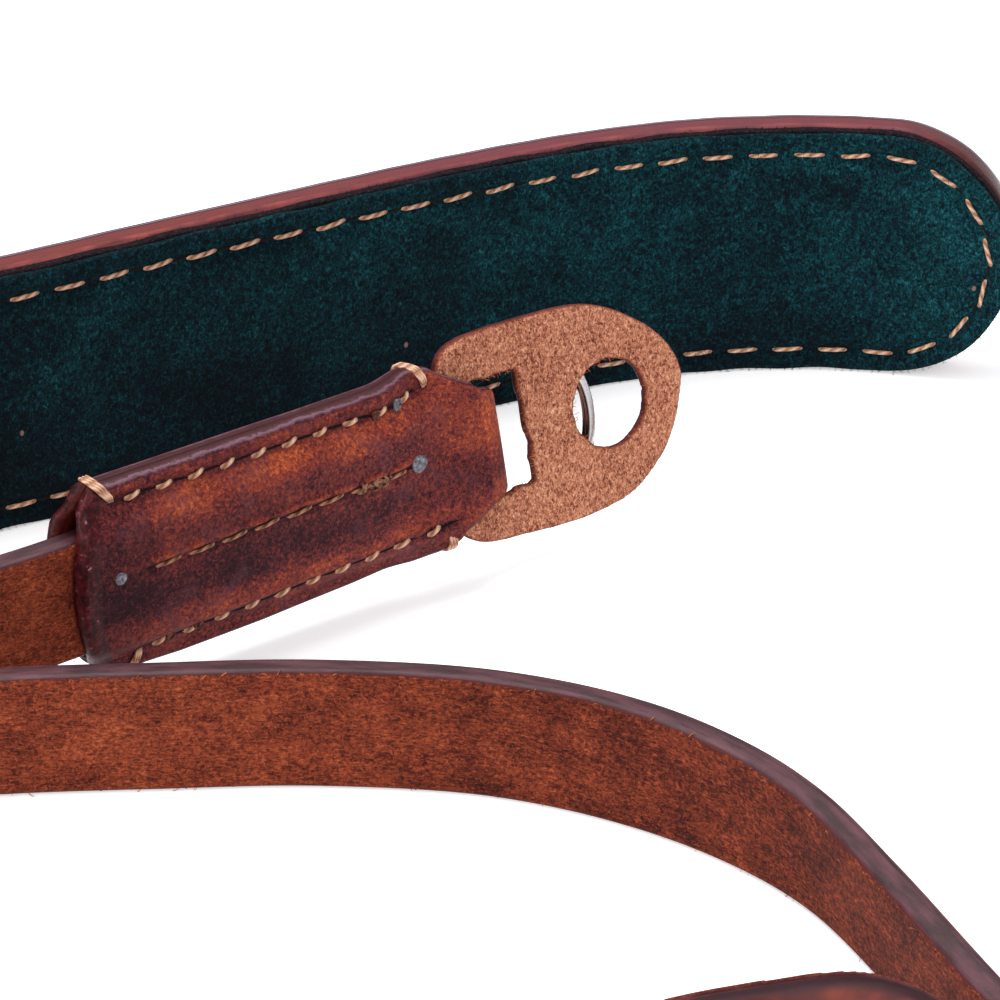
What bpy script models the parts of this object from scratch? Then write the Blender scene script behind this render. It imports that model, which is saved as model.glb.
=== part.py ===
"""Leather camera neck strap with a suede-lined shoulder pad, standing on its edges.

Metres, +Z up. The origin is on the floor under the middle of the pad's outer leather.
A strap's route runs outwards, from the end of the pad where it is sewn on to the end tab.
"""
import math

import bmesh
import bpy
import numpy as np
from mathutils import Vector

MM = 0.001

# Shoulder pad: outer leather, felt interlining and suede lining
PAD_WIDTH = 26.0
PAD_LEATHER = 3.4
PAD_FELT = 0.8
PAD_SUEDE = 0.8
PAD_STEP = 5.0
PAD_ROUND_STEPS = 7
LAYER_GAP = 0.3

# Narrow straps
STRAP_WIDTH = 11.5
STRAP_THICK = 2.7
STRAP_ON_PAD = 26.0
STRAP_STEP = 5.0
EDGE_ROUND = 0.45

# End tabs, folded round the strap's end, the guard's bar and the ring
TAB_LENGTH = 34.8
TAB_WIDTH = 18.0
TAB_MIDDLE = 12.4
TAB_EDGE_THICK = 2.8
TAB_SWELL = 4.7
TAB_WALL = 1.3
TAB_EDGE_BEVEL = 2.2
STRAP_IN_TAB = 27.5
STRAP_DROP = 1.2
POCKET_GAP = 0.3
NECK_THICK = 1.6
NECK_WIDTH = 17.2
FOLD_WIDTH = 11.4
FOLD_STEPS = 10
FOLD_REACH = 7.3
WAIST_WIDTH = 8.4
NECK_LAP = 1.5
LEAN_FROM = 28.0
NECK_TAPER = [  # turn round the fold in degrees, share of the way from neck to fold, fold to waist
    (-1.0, 0.0, 0.0),
    (-0.5, 0.39, 0.0),
    (0.0, 0.78, 0.0),
    (52.0, 1.0, 0.0),
    (90.0, 1.0, 0.9),
    (110.0, 1.0, 1.0),
    (140.0, 1.0, 1.0),
    (180.0, 1.0, 0.6),
    (180.5, 0.0, 0.0),
    (181.0, 0.0, 0.0),
]

# Lug guards
GUARD_THICK = 1.2
GUARD_WIDTH = 21.4
GUARD_LENGTH = 28.9
GUARD_CORNER = 2.4
GUARD_CORNER_CUT = [(0.0, 1.6), (0.3, 1.0), (1.0, 0.0)]  # along, down from the edge, of the corner
GUARD_BAR = 3.7
GUARD_SLOT = 6.2
GUARD_SLOT_GAP = 0.35
GUARD_HOLE = 8.8
GUARD_HOLE_FROM_TIP = 8.1
GUARD_DROP = -0.2
GUARD_STEPS = 24

# Split rings
RING_RADIUS = 9.7
RING_WIDTH = 0.9
RING_THICK = 1.2
RING_DROP = 0.5
RING_INSET = 1.4
RING_SEAT = 0.35
RING_STEPS = 40

# Where the end tabs stand: the middle of the tab's strap end, its heading, the flesh side, and
# how far its guard end is twisted over to the left in degrees
TABS = {
    "left": {"x": -13.0, "y": -49.2, "heading": 37.5, "side": 1, "lean": 14.0, "ring_slack": 0.0},
    "right": {"x": -4.4, "y": -143.2, "heading": 18.0, "side": -1, "lean": 0.0, "ring_slack": 1.0},
}

# The pad's outer leather, along the floor from its left end to its right end
PAD_ROUTE = [  # x, y
    (-165.0, -22.0),
    (-143.0, -29.0),
    (-118.0, -33.4),
    (-92.0, -34.0),
    (-68.0, -31.0),
    (-46.0, -24.5),
    (-27.4, -15.7),
    (-12.2, -6.9),
    (0.0, 0.0),
    (12.3, 6.8),
    (19.4, 10.4),
    (27.6, 14.1),
    (38.9, 17.7),
    (49.8, 19.0),
    (58.8, 18.4),
    (72.2, 15.0),
]

# Each strap between the pad and its tab: place, height of its lower edge, roll in degrees
STRAP_ROUTES = {
    "left": [  # x, y, lift, roll
        (-192.0, -13.5, 4.0, 0),
        (-217.0, -9.5, 1.0, 0),
        (-243.0, -12.0, 0.0, 0),
        (-266.0, -23.0, 0.0, 0),
        (-281.0, -42.0, 0.0, 0),
        (-284.0, -64.0, 0.0, 0),
        (-274.0, -85.0, 0.0, 0),
        (-253.0, -99.0, 0.0, 12),
        (-228.0, -104.0, 0.0, 40),
        (-203.0, -102.0, 0.0, 74),
        (-178.0, -95.5, 0.0, 106),
        (-154.0, -87.5, 0.0, 140),
        (-131.0, -79.5, 0.0, 168),
        (-108.0, -72.5, 0.0, 180),
        (-86.0, -68.0, 0.8, 180),
        (-66.0, -65.8, 2.0, 180),
        (-52.0, -64.6, 3.0, 180),
        (-40.0, -62.6, 4.0, 180),
        (-30.5, -59.6, 4.7, 180),
    ],
    "right": [
        (86.0, 10.0, 5.0, 0),
        (98.0, 1.0, 2.0, 0),
        (108.0, -15.0, 0.0, 0),
        (114.0, -36.0, 0.0, 12),
        (117.0, -58.0, 0.0, 50),
        (118.0, -80.0, 0.0, 90),
        (118.0, -100.0, 0.0, 130),
        (117.0, -120.0, 0.0, 168),
        (113.0, -137.0, 0.0, 180),
        (105.0, -149.0, 0.0, 180),
        (93.0, -154.0, 0.0, 180),
        (81.0, -150.0, 0.0, 180),
        (72.1, -140.0, 0.0, 180),
        (65.5, -127.0, 0.0, 184),
        (59.1, -113.0, 0.0, 189),
        (51.9, -95.6, 0.0, 190),
        (46.4, -84.3, 0.0, 188),
        (40.4, -77.0, 0.0, 184),
        (32.0, -70.6, 0.0, 180),
        (20.4, -65.9, 0.0, 180),
        (5.4, -64.2, 0.0, 180),
        (-8.1, -64.7, 0.0, 180),
        (-21.6, -65.6, 0.0, 180),
        (-33.0, -67.4, 0.0, 180),
        (-44.0, -72.0, 0.0, 180),
        (-55.0, -80.6, 0.0, 180),
        (-63.0, -92.5, 0.0, 180),
        (-65.8, -106.0, 0.4, 180),
        (-63.5, -120.0, 1.4, 180),
        (-55.5, -133.5, 2.2, 180),
        (-42.5, -143.5, 3.2, 180),
        (-27.0, -148.2, 4.4, 180),
    ],
}

SURFACES = {  # colour, roughness, metallic
    "leather": ((0.19, 0.045, 0.022), 0.38, 0.0),
    "flesh": ((0.28, 0.095, 0.04), 0.9, 0.0),
    "suede": ((0.004, 0.045, 0.045), 0.95, 0.0),
    "felt": ((0.02, 0.012, 0.012), 0.95, 0.0),
    "steel": ((0.6, 0.6, 0.62), 0.25, 1.0),
}


def start_scene():
    for ob in list(bpy.data.objects):
        bpy.data.objects.remove(ob, do_unlink=True)
    made = []
    for name in ("camera_neck_strap", "cutters"):
        collection = bpy.data.collections.new(name)
        bpy.context.scene.collection.children.link(collection)
        made.append(collection)
    return made


def make_materials():
    made = {}
    for name, (colour, roughness, metallic) in SURFACES.items():
        material = bpy.data.materials.new(name)
        material.use_nodes = True
        shader = material.node_tree.nodes["Principled BSDF"]
        shader.inputs["Base Color"].default_value = (*colour, 1.0)
        shader.inputs["Roughness"].default_value = roughness
        shader.inputs["Metallic"].default_value = metallic
        made[name] = material
    return made


def smooth_path(points, step):
    """Points about step apart on a smooth curve through the given rows of columns."""
    rows = np.array(points, float)
    rows = np.vstack([2 * rows[0] - rows[1], rows, 2 * rows[-1] - rows[-2]])
    chord = np.linalg.norm(np.diff(rows[:, :2], axis=0), axis=1)
    knots = np.concatenate([[0.0], np.cumsum(np.sqrt(chord))])
    path = []
    for i in range(1, len(rows) - 2):
        count = max(2, round(chord[i] / step))
        last = i == len(rows) - 3
        t0, t1, t2, t3 = knots[i - 1 : i + 3]
        for t in np.linspace(t1, t2, count + 1)[: None if last else -1]:
            a1 = ((t1 - t) * rows[i - 1] + (t - t0) * rows[i]) / (t1 - t0)
            a2 = ((t2 - t) * rows[i] + (t - t1) * rows[i + 1]) / (t2 - t1)
            a3 = ((t3 - t) * rows[i + 1] + (t - t2) * rows[i + 2]) / (t3 - t2)
            b1 = ((t2 - t) * a1 + (t - t0) * a2) / (t2 - t0)
            b2 = ((t3 - t) * a2 + (t - t1) * a3) / (t3 - t1)
            path.append(((t2 - t) * b1 + (t - t1) * b2) / (t2 - t1))
    return np.array(path)


def left_normals(path):
    """Unit vectors to the left of the path, level with the floor."""
    run = np.gradient(path[:, :2], axis=0)
    run /= np.linalg.norm(run, axis=1)[:, None]
    return np.column_stack([-run[:, 1], run[:, 0]])


def lengths_along(path):
    return np.concatenate([[0.0], np.cumsum(np.linalg.norm(np.diff(path[:, :2], axis=0), axis=1))])


def path_at(path, distances):
    along = lengths_along(path)
    columns = [np.interp(distances, along, path[:, k]) for k in range(path.shape[1])]
    return np.column_stack(columns)


def soft_section(half_thick, half_width, edge):
    """A flat section with its corners taken off, as (across, up) pairs."""
    edge = min(edge, half_thick * 0.9, half_width * 0.9)
    return [
        (half_thick - edge, -half_width),
        (half_thick, edge - half_width),
        (half_thick, half_width - edge),
        (half_thick - edge, half_width),
        (edge - half_thick, half_width),
        (-half_thick, half_width - edge),
        (-half_thick, edge - half_width),
        (edge - half_thick, -half_width),
    ]


def loft(name, rings, material, collection):
    """One closed body through rings of points that are given in millimetres."""
    bm = bmesh.new()
    rows = [[bm.verts.new(Vector(p) * MM) for p in ring] for ring in rings]
    sides = len(rows[0])
    for here, there in zip(rows, rows[1:]):
        for k in range(sides):
            bm.faces.new((here[k], here[(k + 1) % sides], there[(k + 1) % sides], there[k]))
    bm.faces.new(rows[0])
    bm.faces.new(rows[-1][::-1])
    bmesh.ops.recalc_face_normals(bm, faces=bm.faces)
    mesh = bpy.data.meshes.new(name)
    bm.to_mesh(mesh)
    bm.free()
    ob = bpy.data.objects.new(name, mesh)
    ob.data.materials.append(material)
    collection.objects.link(ob)
    mesh.shade_smooth()
    mesh.set_sharp_from_angle(angle=math.radians(40))
    return ob


def pad_layer(name, path, near, far, material, collection):
    """One layer of the pad, between two distances to the left of its leather's middle."""
    radius = PAD_WIDTH / 2
    length = lengths_along(path)[-1]
    turns = np.linspace(math.radians(10), math.pi / 2, PAD_ROUND_STEPS)
    start = radius * (1 - np.cos(turns))
    middle = np.linspace(radius, length - radius, round((length - 2 * radius) / PAD_STEP))[1:-1]
    at = np.concatenate([start, middle, (length - start)[::-1]])
    halves = np.concatenate([radius * np.sin(turns), np.full(len(middle), radius)])
    halves = np.concatenate([halves, radius * np.sin(turns)[::-1]])
    places = path_at(path, at)
    normals = left_normals(places)
    rings = []
    for (x, y), (nx, ny), half in zip(places, normals, halves):
        section = soft_section((far - near) / 2, half, EDGE_ROUND)
        rings.append([
            (x + nx * ((near + far) / 2 + across), y + ny * ((near + far) / 2 + across), radius + up)
            for across, up in section
        ])
    return loft(name, rings, material, collection)


def tab_point(tab, along, across=0.0):
    """A place on the floor given in an end tab's own directions."""
    turn = math.radians(tab["heading"])
    x = tab["x"] + along * math.cos(turn) - across * math.sin(turn)
    y = tab["y"] + along * math.sin(turn) + across * math.cos(turn)
    return x, y


def strap_on_pad(end, pad_path):
    """The strap's first stretch, sewn flat on the pad's outer leather."""
    length = lengths_along(pad_path)[-1]
    distances = np.linspace(STRAP_ON_PAD, 0.0, 4)
    distances = distances if end == "left" else length - distances
    places = path_at(pad_path, distances)
    whole = path_at(pad_path, np.linspace(0, length, 100))
    normals = path_at(np.column_stack([whole, left_normals(whole)]), distances)[:, 2:]
    out = PAD_LEATHER / 2 + LAYER_GAP + STRAP_THICK / 2
    lift = (PAD_WIDTH - STRAP_WIDTH) / 2
    return [(*(place + normal * out), lift, 0.0) for place, normal in zip(places, normals)]


def strap_route(end, pad_path):
    tab = TABS[end]
    lift = TAB_MIDDLE - STRAP_DROP - STRAP_WIDTH / 2
    in_tab = [(*tab_point(tab, along), lift, 180.0) for along in (-9.0, 0.0, 12.0, STRAP_IN_TAB)]
    return strap_on_pad(end, pad_path) + STRAP_ROUTES[end] + in_tab


def strap_rings(path, grow=0.0):
    half_width = STRAP_WIDTH / 2 + grow
    half_thick = STRAP_THICK / 2 + grow
    section = soft_section(half_thick, half_width, EDGE_ROUND)
    rings = []
    for (x, y, lift, roll), (nx, ny) in zip(path, left_normals(path)):
        turn = math.radians(roll)
        height = abs(math.cos(turn)) * STRAP_WIDTH / 2 + abs(math.sin(turn)) * STRAP_THICK / 2
        ring = []
        for across, up in section:
            side = across * math.cos(turn) + up * math.sin(turn)
            rise = up * math.cos(turn) - across * math.sin(turn)
            ring.append((x + nx * side, y + ny * side, max(lift, 0.0) + height + rise))
        rings.append(ring)
    return rings


def place_on_tab(ob, tab):
    ob.location = (tab["x"] * MM, tab["y"] * MM, 0.0)
    ob.rotation_euler = (0.0, 0.0, math.radians(tab["heading"]))


def leant(tab, along, across, up):
    """A point of a tab, its heights from the tab's middle, after the twist of its guard end."""
    share = min(max((along - LEAN_FROM) / (TAB_LENGTH - LEAN_FROM), 0.0), 1.0)
    lean = math.radians(tab["lean"]) * share * share * (3 - 2 * share)
    away = across * math.cos(lean) + up * math.sin(lean)
    return along, away, TAB_MIDDLE + up * math.cos(lean) - across * math.sin(lean)


def tab_body_rings(tab):
    """The two layers pressed together at the edges and swollen over the strap's end."""
    middle = STRAP_THICK / 2 + POCKET_GAP + TAB_WALL
    turns = np.linspace(math.radians(14), math.pi / 2, 6)
    straight = [*np.linspace(0.0, LEAN_FROM, 4)[1:], *np.linspace(LEAN_FROM, TAB_LENGTH, 4)[1:]]
    at = list(-TAB_SWELL * np.cos(turns)) + straight
    halves = list(TAB_WIDTH / 2 * np.sin(turns)) + [TAB_WIDTH / 2] * len(straight)
    rings = []
    for x, half in zip(at, halves):
        bevel = min(TAB_EDGE_BEVEL, half * 0.5)
        edge = TAB_EDGE_THICK / 2
        ring = [(edge, -half), (middle, bevel - half), (middle, half - bevel), (edge, half)]
        ring += [(-y, z) for y, z in reversed(ring)]
        rings.append([leant(tab, x, y, z) for y, z in ring])
    return rings


def neck_rings(tab):
    """The leather that runs on past the stitched tab and folds round the bar and the ring."""
    reach = fold_radius()
    fold_at = TAB_LENGTH + FOLD_REACH - reach - NECK_THICK / 2
    start = TAB_LENGTH - NECK_LAP
    turns = np.linspace(0, 180, FOLD_STEPS + 1)
    front = [(start, -reach, -1.0), ((start + fold_at) / 2, -reach, -0.5)]
    bend = [
        (fold_at + reach * math.sin(math.radians(t)), -reach * math.cos(math.radians(t)), t)
        for t in turns
    ]
    back = [((start + fold_at) / 2, reach, 180.5), (start, reach, 181.0)]
    path = np.array(front + bend + back)
    at, to_fold, to_waist = np.array(NECK_TAPER).T
    rings = []
    for (x, y, turn), (nx, ny) in zip(path, left_normals(path)):
        width = NECK_WIDTH + (FOLD_WIDTH - NECK_WIDTH) * np.interp(turn, at, to_fold)
        width += (WAIST_WIDTH - FOLD_WIDTH) * np.interp(turn, at, to_waist)
        section = soft_section(NECK_THICK / 2, width / 2, EDGE_ROUND)
        rings.append([leant(tab, x + nx * a, tab["side"] * (y + ny * a), up) for a, up in section])
    return rings


def fold_radius():
    """Middle of the neck's fold, with the guard's bar and the ring side by side inside it."""
    inside = RING_SEAT + GUARD_THICK + LAYER_GAP + RING_THICK + RING_SEAT
    return inside / 2 + NECK_THICK / 2


def guard_plane():
    """How far the guard's middle lies from the tab's middle, towards the flesh side."""
    return fold_radius() - NECK_THICK / 2 - RING_SEAT - GUARD_THICK / 2


def ring_plane():
    return fold_radius() - NECK_THICK / 2 - RING_SEAT - RING_THICK / 2


def cut(ob, cutter, operation="DIFFERENCE"):
    cutter.hide_render = True
    cutter.display_type = "WIRE"
    modifier = ob.modifiers.new(operation.lower(), "BOOLEAN")
    modifier.operation = operation
    modifier.object = cutter


def make_tab(end, pad_path, materials, parts, cutters):
    tab = TABS[end]
    ob = loft(f"end_tab_{end}", tab_body_rings(tab), materials["leather"], parts)
    neck = loft(f"neck_{end}", neck_rings(tab), materials["leather"], cutters)
    for piece in (ob, neck):
        place_on_tab(piece, tab)
    path = smooth_path(strap_route(end, pad_path), STRAP_STEP)
    outside = [*tab_point(tab, -3 * TAB_SWELL), path[-1][2], 180.0]
    inside = [*tab_point(tab, STRAP_IN_TAB + POCKET_GAP), path[-1][2], 180.0]
    pocket = strap_rings(smooth_path([outside, inside], STRAP_STEP * 4), POCKET_GAP)
    pocket = loft(f"pocket_{end}", pocket, materials["leather"], cutters)
    cut(ob, neck, "UNION")
    cut(ob, pocket)
    return ob


def guard_outline():
    """The guard from its slot end to its round tip, counter-clockwise."""
    half = GUARD_WIDTH / 2
    upper = [(GUARD_CORNER * x, half - GUARD_CORNER * z) for x, z in GUARD_CORNER_CUT]
    lower = [(x, -z) for x, z in upper]
    tip = []
    for turn in np.linspace(-math.pi / 2, math.pi / 2, GUARD_STEPS // 2 + 1):
        tip.append((GUARD_LENGTH - half + half * math.cos(turn), half * math.sin(turn)))
    return lower + tip + upper[::-1]


def plate(name, outline, thick, material, collection):
    """A flat outline of (along, up) pairs, thick across, as a filled 2D curve made a mesh."""
    curve = bpy.data.curves.new(name, "CURVE")
    curve.dimensions = "2D"
    curve.fill_mode = "BOTH"
    curve.extrude = thick / 2 * MM
    spline = curve.splines.new("POLY")
    spline.points.add(len(outline) - 1)
    spline.use_cyclic_u = True
    for point, (x, z) in zip(spline.points, outline):
        point.co = (x * MM, z * MM, 0.0, 1.0)
    guide = bpy.data.objects.new(name + "_outline", curve)
    collection.objects.link(guide)
    shape = guide.evaluated_get(bpy.context.evaluated_depsgraph_get())
    mesh = bpy.data.meshes.new_from_object(shape)
    bpy.data.objects.remove(guide, do_unlink=True)
    bm = bmesh.new()
    bm.from_mesh(mesh)
    bmesh.ops.remove_doubles(bm, verts=bm.verts, dist=1e-6)
    for vert in bm.verts:
        vert.co = Vector((vert.co.x, -vert.co.z, vert.co.y))
    bmesh.ops.recalc_face_normals(bm, faces=bm.faces)
    bm.to_mesh(mesh)
    bm.free()
    mesh.materials.clear()
    mesh.materials.append(material)
    ob = bpy.data.objects.new(name, mesh)
    collection.objects.link(ob)
    return ob


def circle(radius, steps, x=0.0, z=0.0):
    turns = np.linspace(0, 2 * math.pi, steps, endpoint=False)
    return [(x + radius * math.cos(t), z + radius * math.sin(t)) for t in turns]


def make_guard(end, materials, parts, cutters):
    tab = TABS[end]
    ob = plate(f"lug_guard_{end}", guard_outline(), GUARD_THICK, materials["flesh"], parts)
    half_slot = FOLD_WIDTH / 2 + GUARD_SLOT_GAP
    slot = [
        (GUARD_BAR, GUARD_DROP - half_slot),
        (GUARD_BAR + GUARD_SLOT, GUARD_DROP - half_slot),
        (GUARD_BAR + GUARD_SLOT, GUARD_DROP + half_slot),
        (GUARD_BAR, GUARD_DROP + half_slot),
    ]
    hole_at = GUARD_LENGTH - GUARD_HOLE_FROM_TIP
    hole = circle(GUARD_HOLE / 2, GUARD_STEPS, hole_at)
    for name, outline in (("slot", slot), ("hole", hole)):
        cutter = plate(f"{name}_{end}", outline, GUARD_THICK * 2, materials["flesh"], cutters)
        cut(ob, cutter)
        seat_guard(cutter, tab)
    seat_guard(ob, tab)
    return ob


def seat_guard(ob, tab):
    seat(ob, tab, TAB_LENGTH + LAYER_GAP, -tab["side"] * guard_plane(), -GUARD_DROP)


def seat(ob, tab, along, across, up):
    """Stand a flat piece in the tab's twisted end."""
    along, across, height = leant(tab, along, across, up)
    x, y = tab_point(tab, along, across)
    ob.location = (x * MM, y * MM, height * MM)
    ob.rotation_euler = (-math.radians(tab["lean"]), 0.0, math.radians(tab["heading"]))


def make_ring(end, materials, parts, cutters):
    tab = TABS[end]
    along = TAB_LENGTH + RING_INSET + RING_RADIUS - tab["ring_slack"]
    ob = plate(f"split_ring_{end}", circle(RING_RADIUS, RING_STEPS), RING_THICK, materials["steel"], parts)
    inner = circle(RING_RADIUS - RING_WIDTH, RING_STEPS)
    cutter = plate(f"ring_hole_{end}", inner, RING_THICK * 2, materials["steel"], cutters)
    cut(ob, cutter)
    for piece in (ob, cutter):
        seat(piece, tab, along, tab["side"] * ring_plane(), -RING_DROP)
    return ob


parts, cutters = start_scene()
materials = make_materials()
pad_path = smooth_path(PAD_ROUTE, PAD_STEP / 2)
felt_near = PAD_LEATHER / 2 + LAYER_GAP
suede_near = felt_near + PAD_FELT + LAYER_GAP
pad_layer("pad_leather", pad_path, -PAD_LEATHER / 2, PAD_LEATHER / 2, materials["leather"], parts)
pad_layer("pad_interlining", pad_path, -felt_near - PAD_FELT, -felt_near, materials["felt"], parts)
pad_layer("pad_suede", pad_path, -suede_near - PAD_SUEDE, -suede_near, materials["suede"], parts)
for end in TABS:
    route = smooth_path(strap_route(end, pad_path), STRAP_STEP)
    loft(f"strap_{end}", strap_rings(route), materials["flesh"], parts)
    make_tab(end, pad_path, materials, parts, cutters)
    make_guard(end, materials, parts, cutters)
    make_ring(end, materials, parts, cutters)
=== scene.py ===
"""The looks of a leather camera neck strap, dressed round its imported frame."""
import math

import bmesh
import bpy
import numpy as np
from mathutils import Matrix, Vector


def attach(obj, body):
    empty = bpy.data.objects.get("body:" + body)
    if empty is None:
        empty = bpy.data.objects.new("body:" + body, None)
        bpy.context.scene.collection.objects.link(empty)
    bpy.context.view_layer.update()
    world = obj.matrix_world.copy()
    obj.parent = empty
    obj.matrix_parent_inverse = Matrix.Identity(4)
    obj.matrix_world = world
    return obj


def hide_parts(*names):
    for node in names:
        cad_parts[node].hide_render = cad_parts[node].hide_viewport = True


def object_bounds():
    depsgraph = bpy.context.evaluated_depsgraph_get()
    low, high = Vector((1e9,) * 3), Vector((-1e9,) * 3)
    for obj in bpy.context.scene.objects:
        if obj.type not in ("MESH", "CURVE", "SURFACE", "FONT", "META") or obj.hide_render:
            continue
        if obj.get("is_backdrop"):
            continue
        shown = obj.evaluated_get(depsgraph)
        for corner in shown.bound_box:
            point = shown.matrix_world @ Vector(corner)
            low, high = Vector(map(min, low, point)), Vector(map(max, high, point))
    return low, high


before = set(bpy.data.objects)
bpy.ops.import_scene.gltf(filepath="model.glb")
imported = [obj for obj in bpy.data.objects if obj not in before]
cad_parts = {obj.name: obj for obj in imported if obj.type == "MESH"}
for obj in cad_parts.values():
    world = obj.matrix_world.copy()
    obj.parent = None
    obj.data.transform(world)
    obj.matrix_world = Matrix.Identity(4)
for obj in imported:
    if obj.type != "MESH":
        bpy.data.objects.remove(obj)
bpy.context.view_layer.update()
MM = 0.001

# Table, light and camera. The strap stands on a sheet of white paper in even light from large
# white panels. The camera looks down at it by 28 degrees from a little under half a metre.
LOOK_AT = (21.0, -13.0, 0.0)
LOOK_DOWN = 28.0
CAMERA_AWAY = 420.0
VIEW_WIDTH = 96.0
SENSOR = 36.0
PANELS = [  # name, place, size, power
    ("panel_above", (-150.0, 250.0, 900.0), (900.0, 700.0), 10.0),
    ("panel_left", (-900.0, -350.0, 500.0), (600.0, 600.0), 4.5),
    ("panel_front", (250.0, -1100.0, 700.0), (800.0, 600.0), 4.5),
]


def put(name, data):
    ob = bpy.data.objects.new(name, data)
    bpy.context.scene.collection.objects.link(ob)
    return ob


def aim(ob, target):
    ob.rotation_euler = (ob.location - Vector(target) * MM).to_track_quat("Z", "Y").to_euler()


camera = put("camera", bpy.data.cameras.new("camera"))
down = math.radians(LOOK_DOWN)
away = Vector((0.0, -math.cos(down), math.sin(down))) * CAMERA_AWAY
camera.location = (Vector(LOOK_AT) + away) * MM
aim(camera, LOOK_AT)
camera.data.sensor_width = SENSOR
camera.data.lens = SENSOR * CAMERA_AWAY / VIEW_WIDTH
camera.data.clip_start = 0.01
camera.data.clip_end = 20.0
bpy.context.scene.camera = camera
for name, place, size, power in PANELS:
    light = bpy.data.lights.new(name, "AREA")
    light.shape = "RECTANGLE"
    light.size, light.size_y = size[0] * MM, size[1] * MM
    light.energy = power
    panel = put(name, light)
    panel.location = Vector(place) * MM
    aim(panel, LOOK_AT)
room = bpy.data.worlds.new("room")
room.use_nodes = True
room.node_tree.nodes["Background"].inputs["Color"].default_value = (0.97, 0.98, 1.0, 1.0)
room.node_tree.nodes["Background"].inputs["Strength"].default_value = 0.66
bpy.context.scene.world = room
bpy.context.scene.view_settings.view_transform = "Standard"


def linear(red, green, blue):
    """A colour as the eye reads it off a screen, 0 to 255, in the numbers that shaders use."""
    return tuple((channel / 255.0) ** 2.2 for channel in (red, green, blue)) + (1.0,)


class Value:
    """A socket that can be used in sums: each operator adds a Math node."""

    def __init__(self, bench, socket):
        self.bench = bench
        self.socket = socket

    def _math(self, operation, first, second=0.0):
        sockets = {0: first, 1: second}
        return self.bench.node("ShaderNodeMath", {"operation": operation}, sockets)["Value"]

    def __add__(self, other):
        return self._math("ADD", self, other)

    def __sub__(self, other):
        return self._math("SUBTRACT", self, other)

    def __rsub__(self, other):
        return self._math("SUBTRACT", other, self)

    def __mul__(self, other):
        return self._math("MULTIPLY", self, other)

    def size(self):
        return self._math("ABSOLUTE", self)

    def wave(self):
        return self._math("SINE", self)

    __radd__ = __add__
    __rmul__ = __mul__


class Bench:
    """A node tree under construction."""

    def __init__(self, tree):
        self.tree = tree

    def node(self, kind, settings=None, inputs=None):
        node = self.tree.nodes.new(kind)
        for key, value in (settings or {}).items():
            if key == "stops":
                for _ in range(len(value) - 2):
                    node.color_ramp.elements.new(0.5)
                for element, (at, colour) in zip(node.color_ramp.elements, value):
                    element.position = at
                    element.color = colour
            else:
                setattr(node, key, value)
        for key, value in (inputs or {}).items():
            if isinstance(value, Value):
                self.tree.links.new(value.socket, node.inputs[key])
            else:
                node.inputs[key].default_value = value
        return {out.name: Value(self, out) for out in node.outputs if out.enabled}


class Finish(Bench):
    """A material under construction round its Principled shader."""

    def __init__(self, name, **plain):
        self.material = bpy.data.materials.new(name)
        self.material.use_nodes = True
        super().__init__(self.material.node_tree)
        self.shader = self.tree.nodes["Principled BSDF"]
        for socket, value in plain.items():
            self.shader.inputs[socket.replace("_", " ")].default_value = value

    def drive(self, socket, value):
        self.tree.links.new(value.socket, self.shader.inputs[socket])

    def mapped(self, where, scale, turn):
        sockets = {"Vector": where, "Scale": scale, "Rotation": turn}
        return self.node("ShaderNodeMapping", None, sockets)["Vector"]

    def place(self, scale=(1.0, 1.0, 1.0), turn=(0.0, 0.0, 0.0)):
        return self.mapped(self.node("ShaderNodeTexCoord")["Object"], scale, turn)

    def along(self, scale=(1.0, 1.0, 1.0), turn=(0.0, 0.0, 0.0)):
        """Place on the piece's own surface: metres along it, metres across it."""
        return self.mapped(self.node("ShaderNodeUVMap", {"uv_map": "wrap"})["UV"], scale, turn)

    def parts(self, where):
        return self.node("ShaderNodeSeparateXYZ", None, {"Vector": where})

    def noise(self, where, scale, detail=3.0, rough=0.55, bend=0.0):
        sockets = {"Vector": where, "Scale": scale, "Detail": detail, "Roughness": rough, "Distortion": bend}
        return self.node("ShaderNodeTexNoise", None, sockets)["Fac"]

    def cells(self, where, scale):
        sockets = {"Vector": where, "Scale": scale}
        return self.node("ShaderNodeTexVoronoi", {"feature": "F1"}, sockets)["Distance"]

    def grade(self, value, low, high):
        """0 at low and 1 at high, eased between."""
        ease = {"interpolation_type": "SMOOTHSTEP"}
        sockets = {"Value": value, "From Min": low, "From Max": high}
        return self.node("ShaderNodeMapRange", ease, sockets)["Result"]

    def tint(self, factor, first, second):
        sockets = {0: factor, 6: first, 7: second}
        return self.node("ShaderNodeMix", {"data_type": "RGBA"}, sockets)["Result"]

    def ramp(self, value, stops):
        return self.node("ShaderNodeValToRGB", {"stops": stops}, {"Fac": value})["Color"]

    def trait(self, name):
        return self.node("ShaderNodeAttribute", {"attribute_name": name})["Fac"]

    def bump(self, height, strength, depth):
        sockets = {"Height": height, "Strength": strength, "Distance": depth}
        self.drive("Normal", self.node("ShaderNodeBump", None, sockets)["Normal"])


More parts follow.
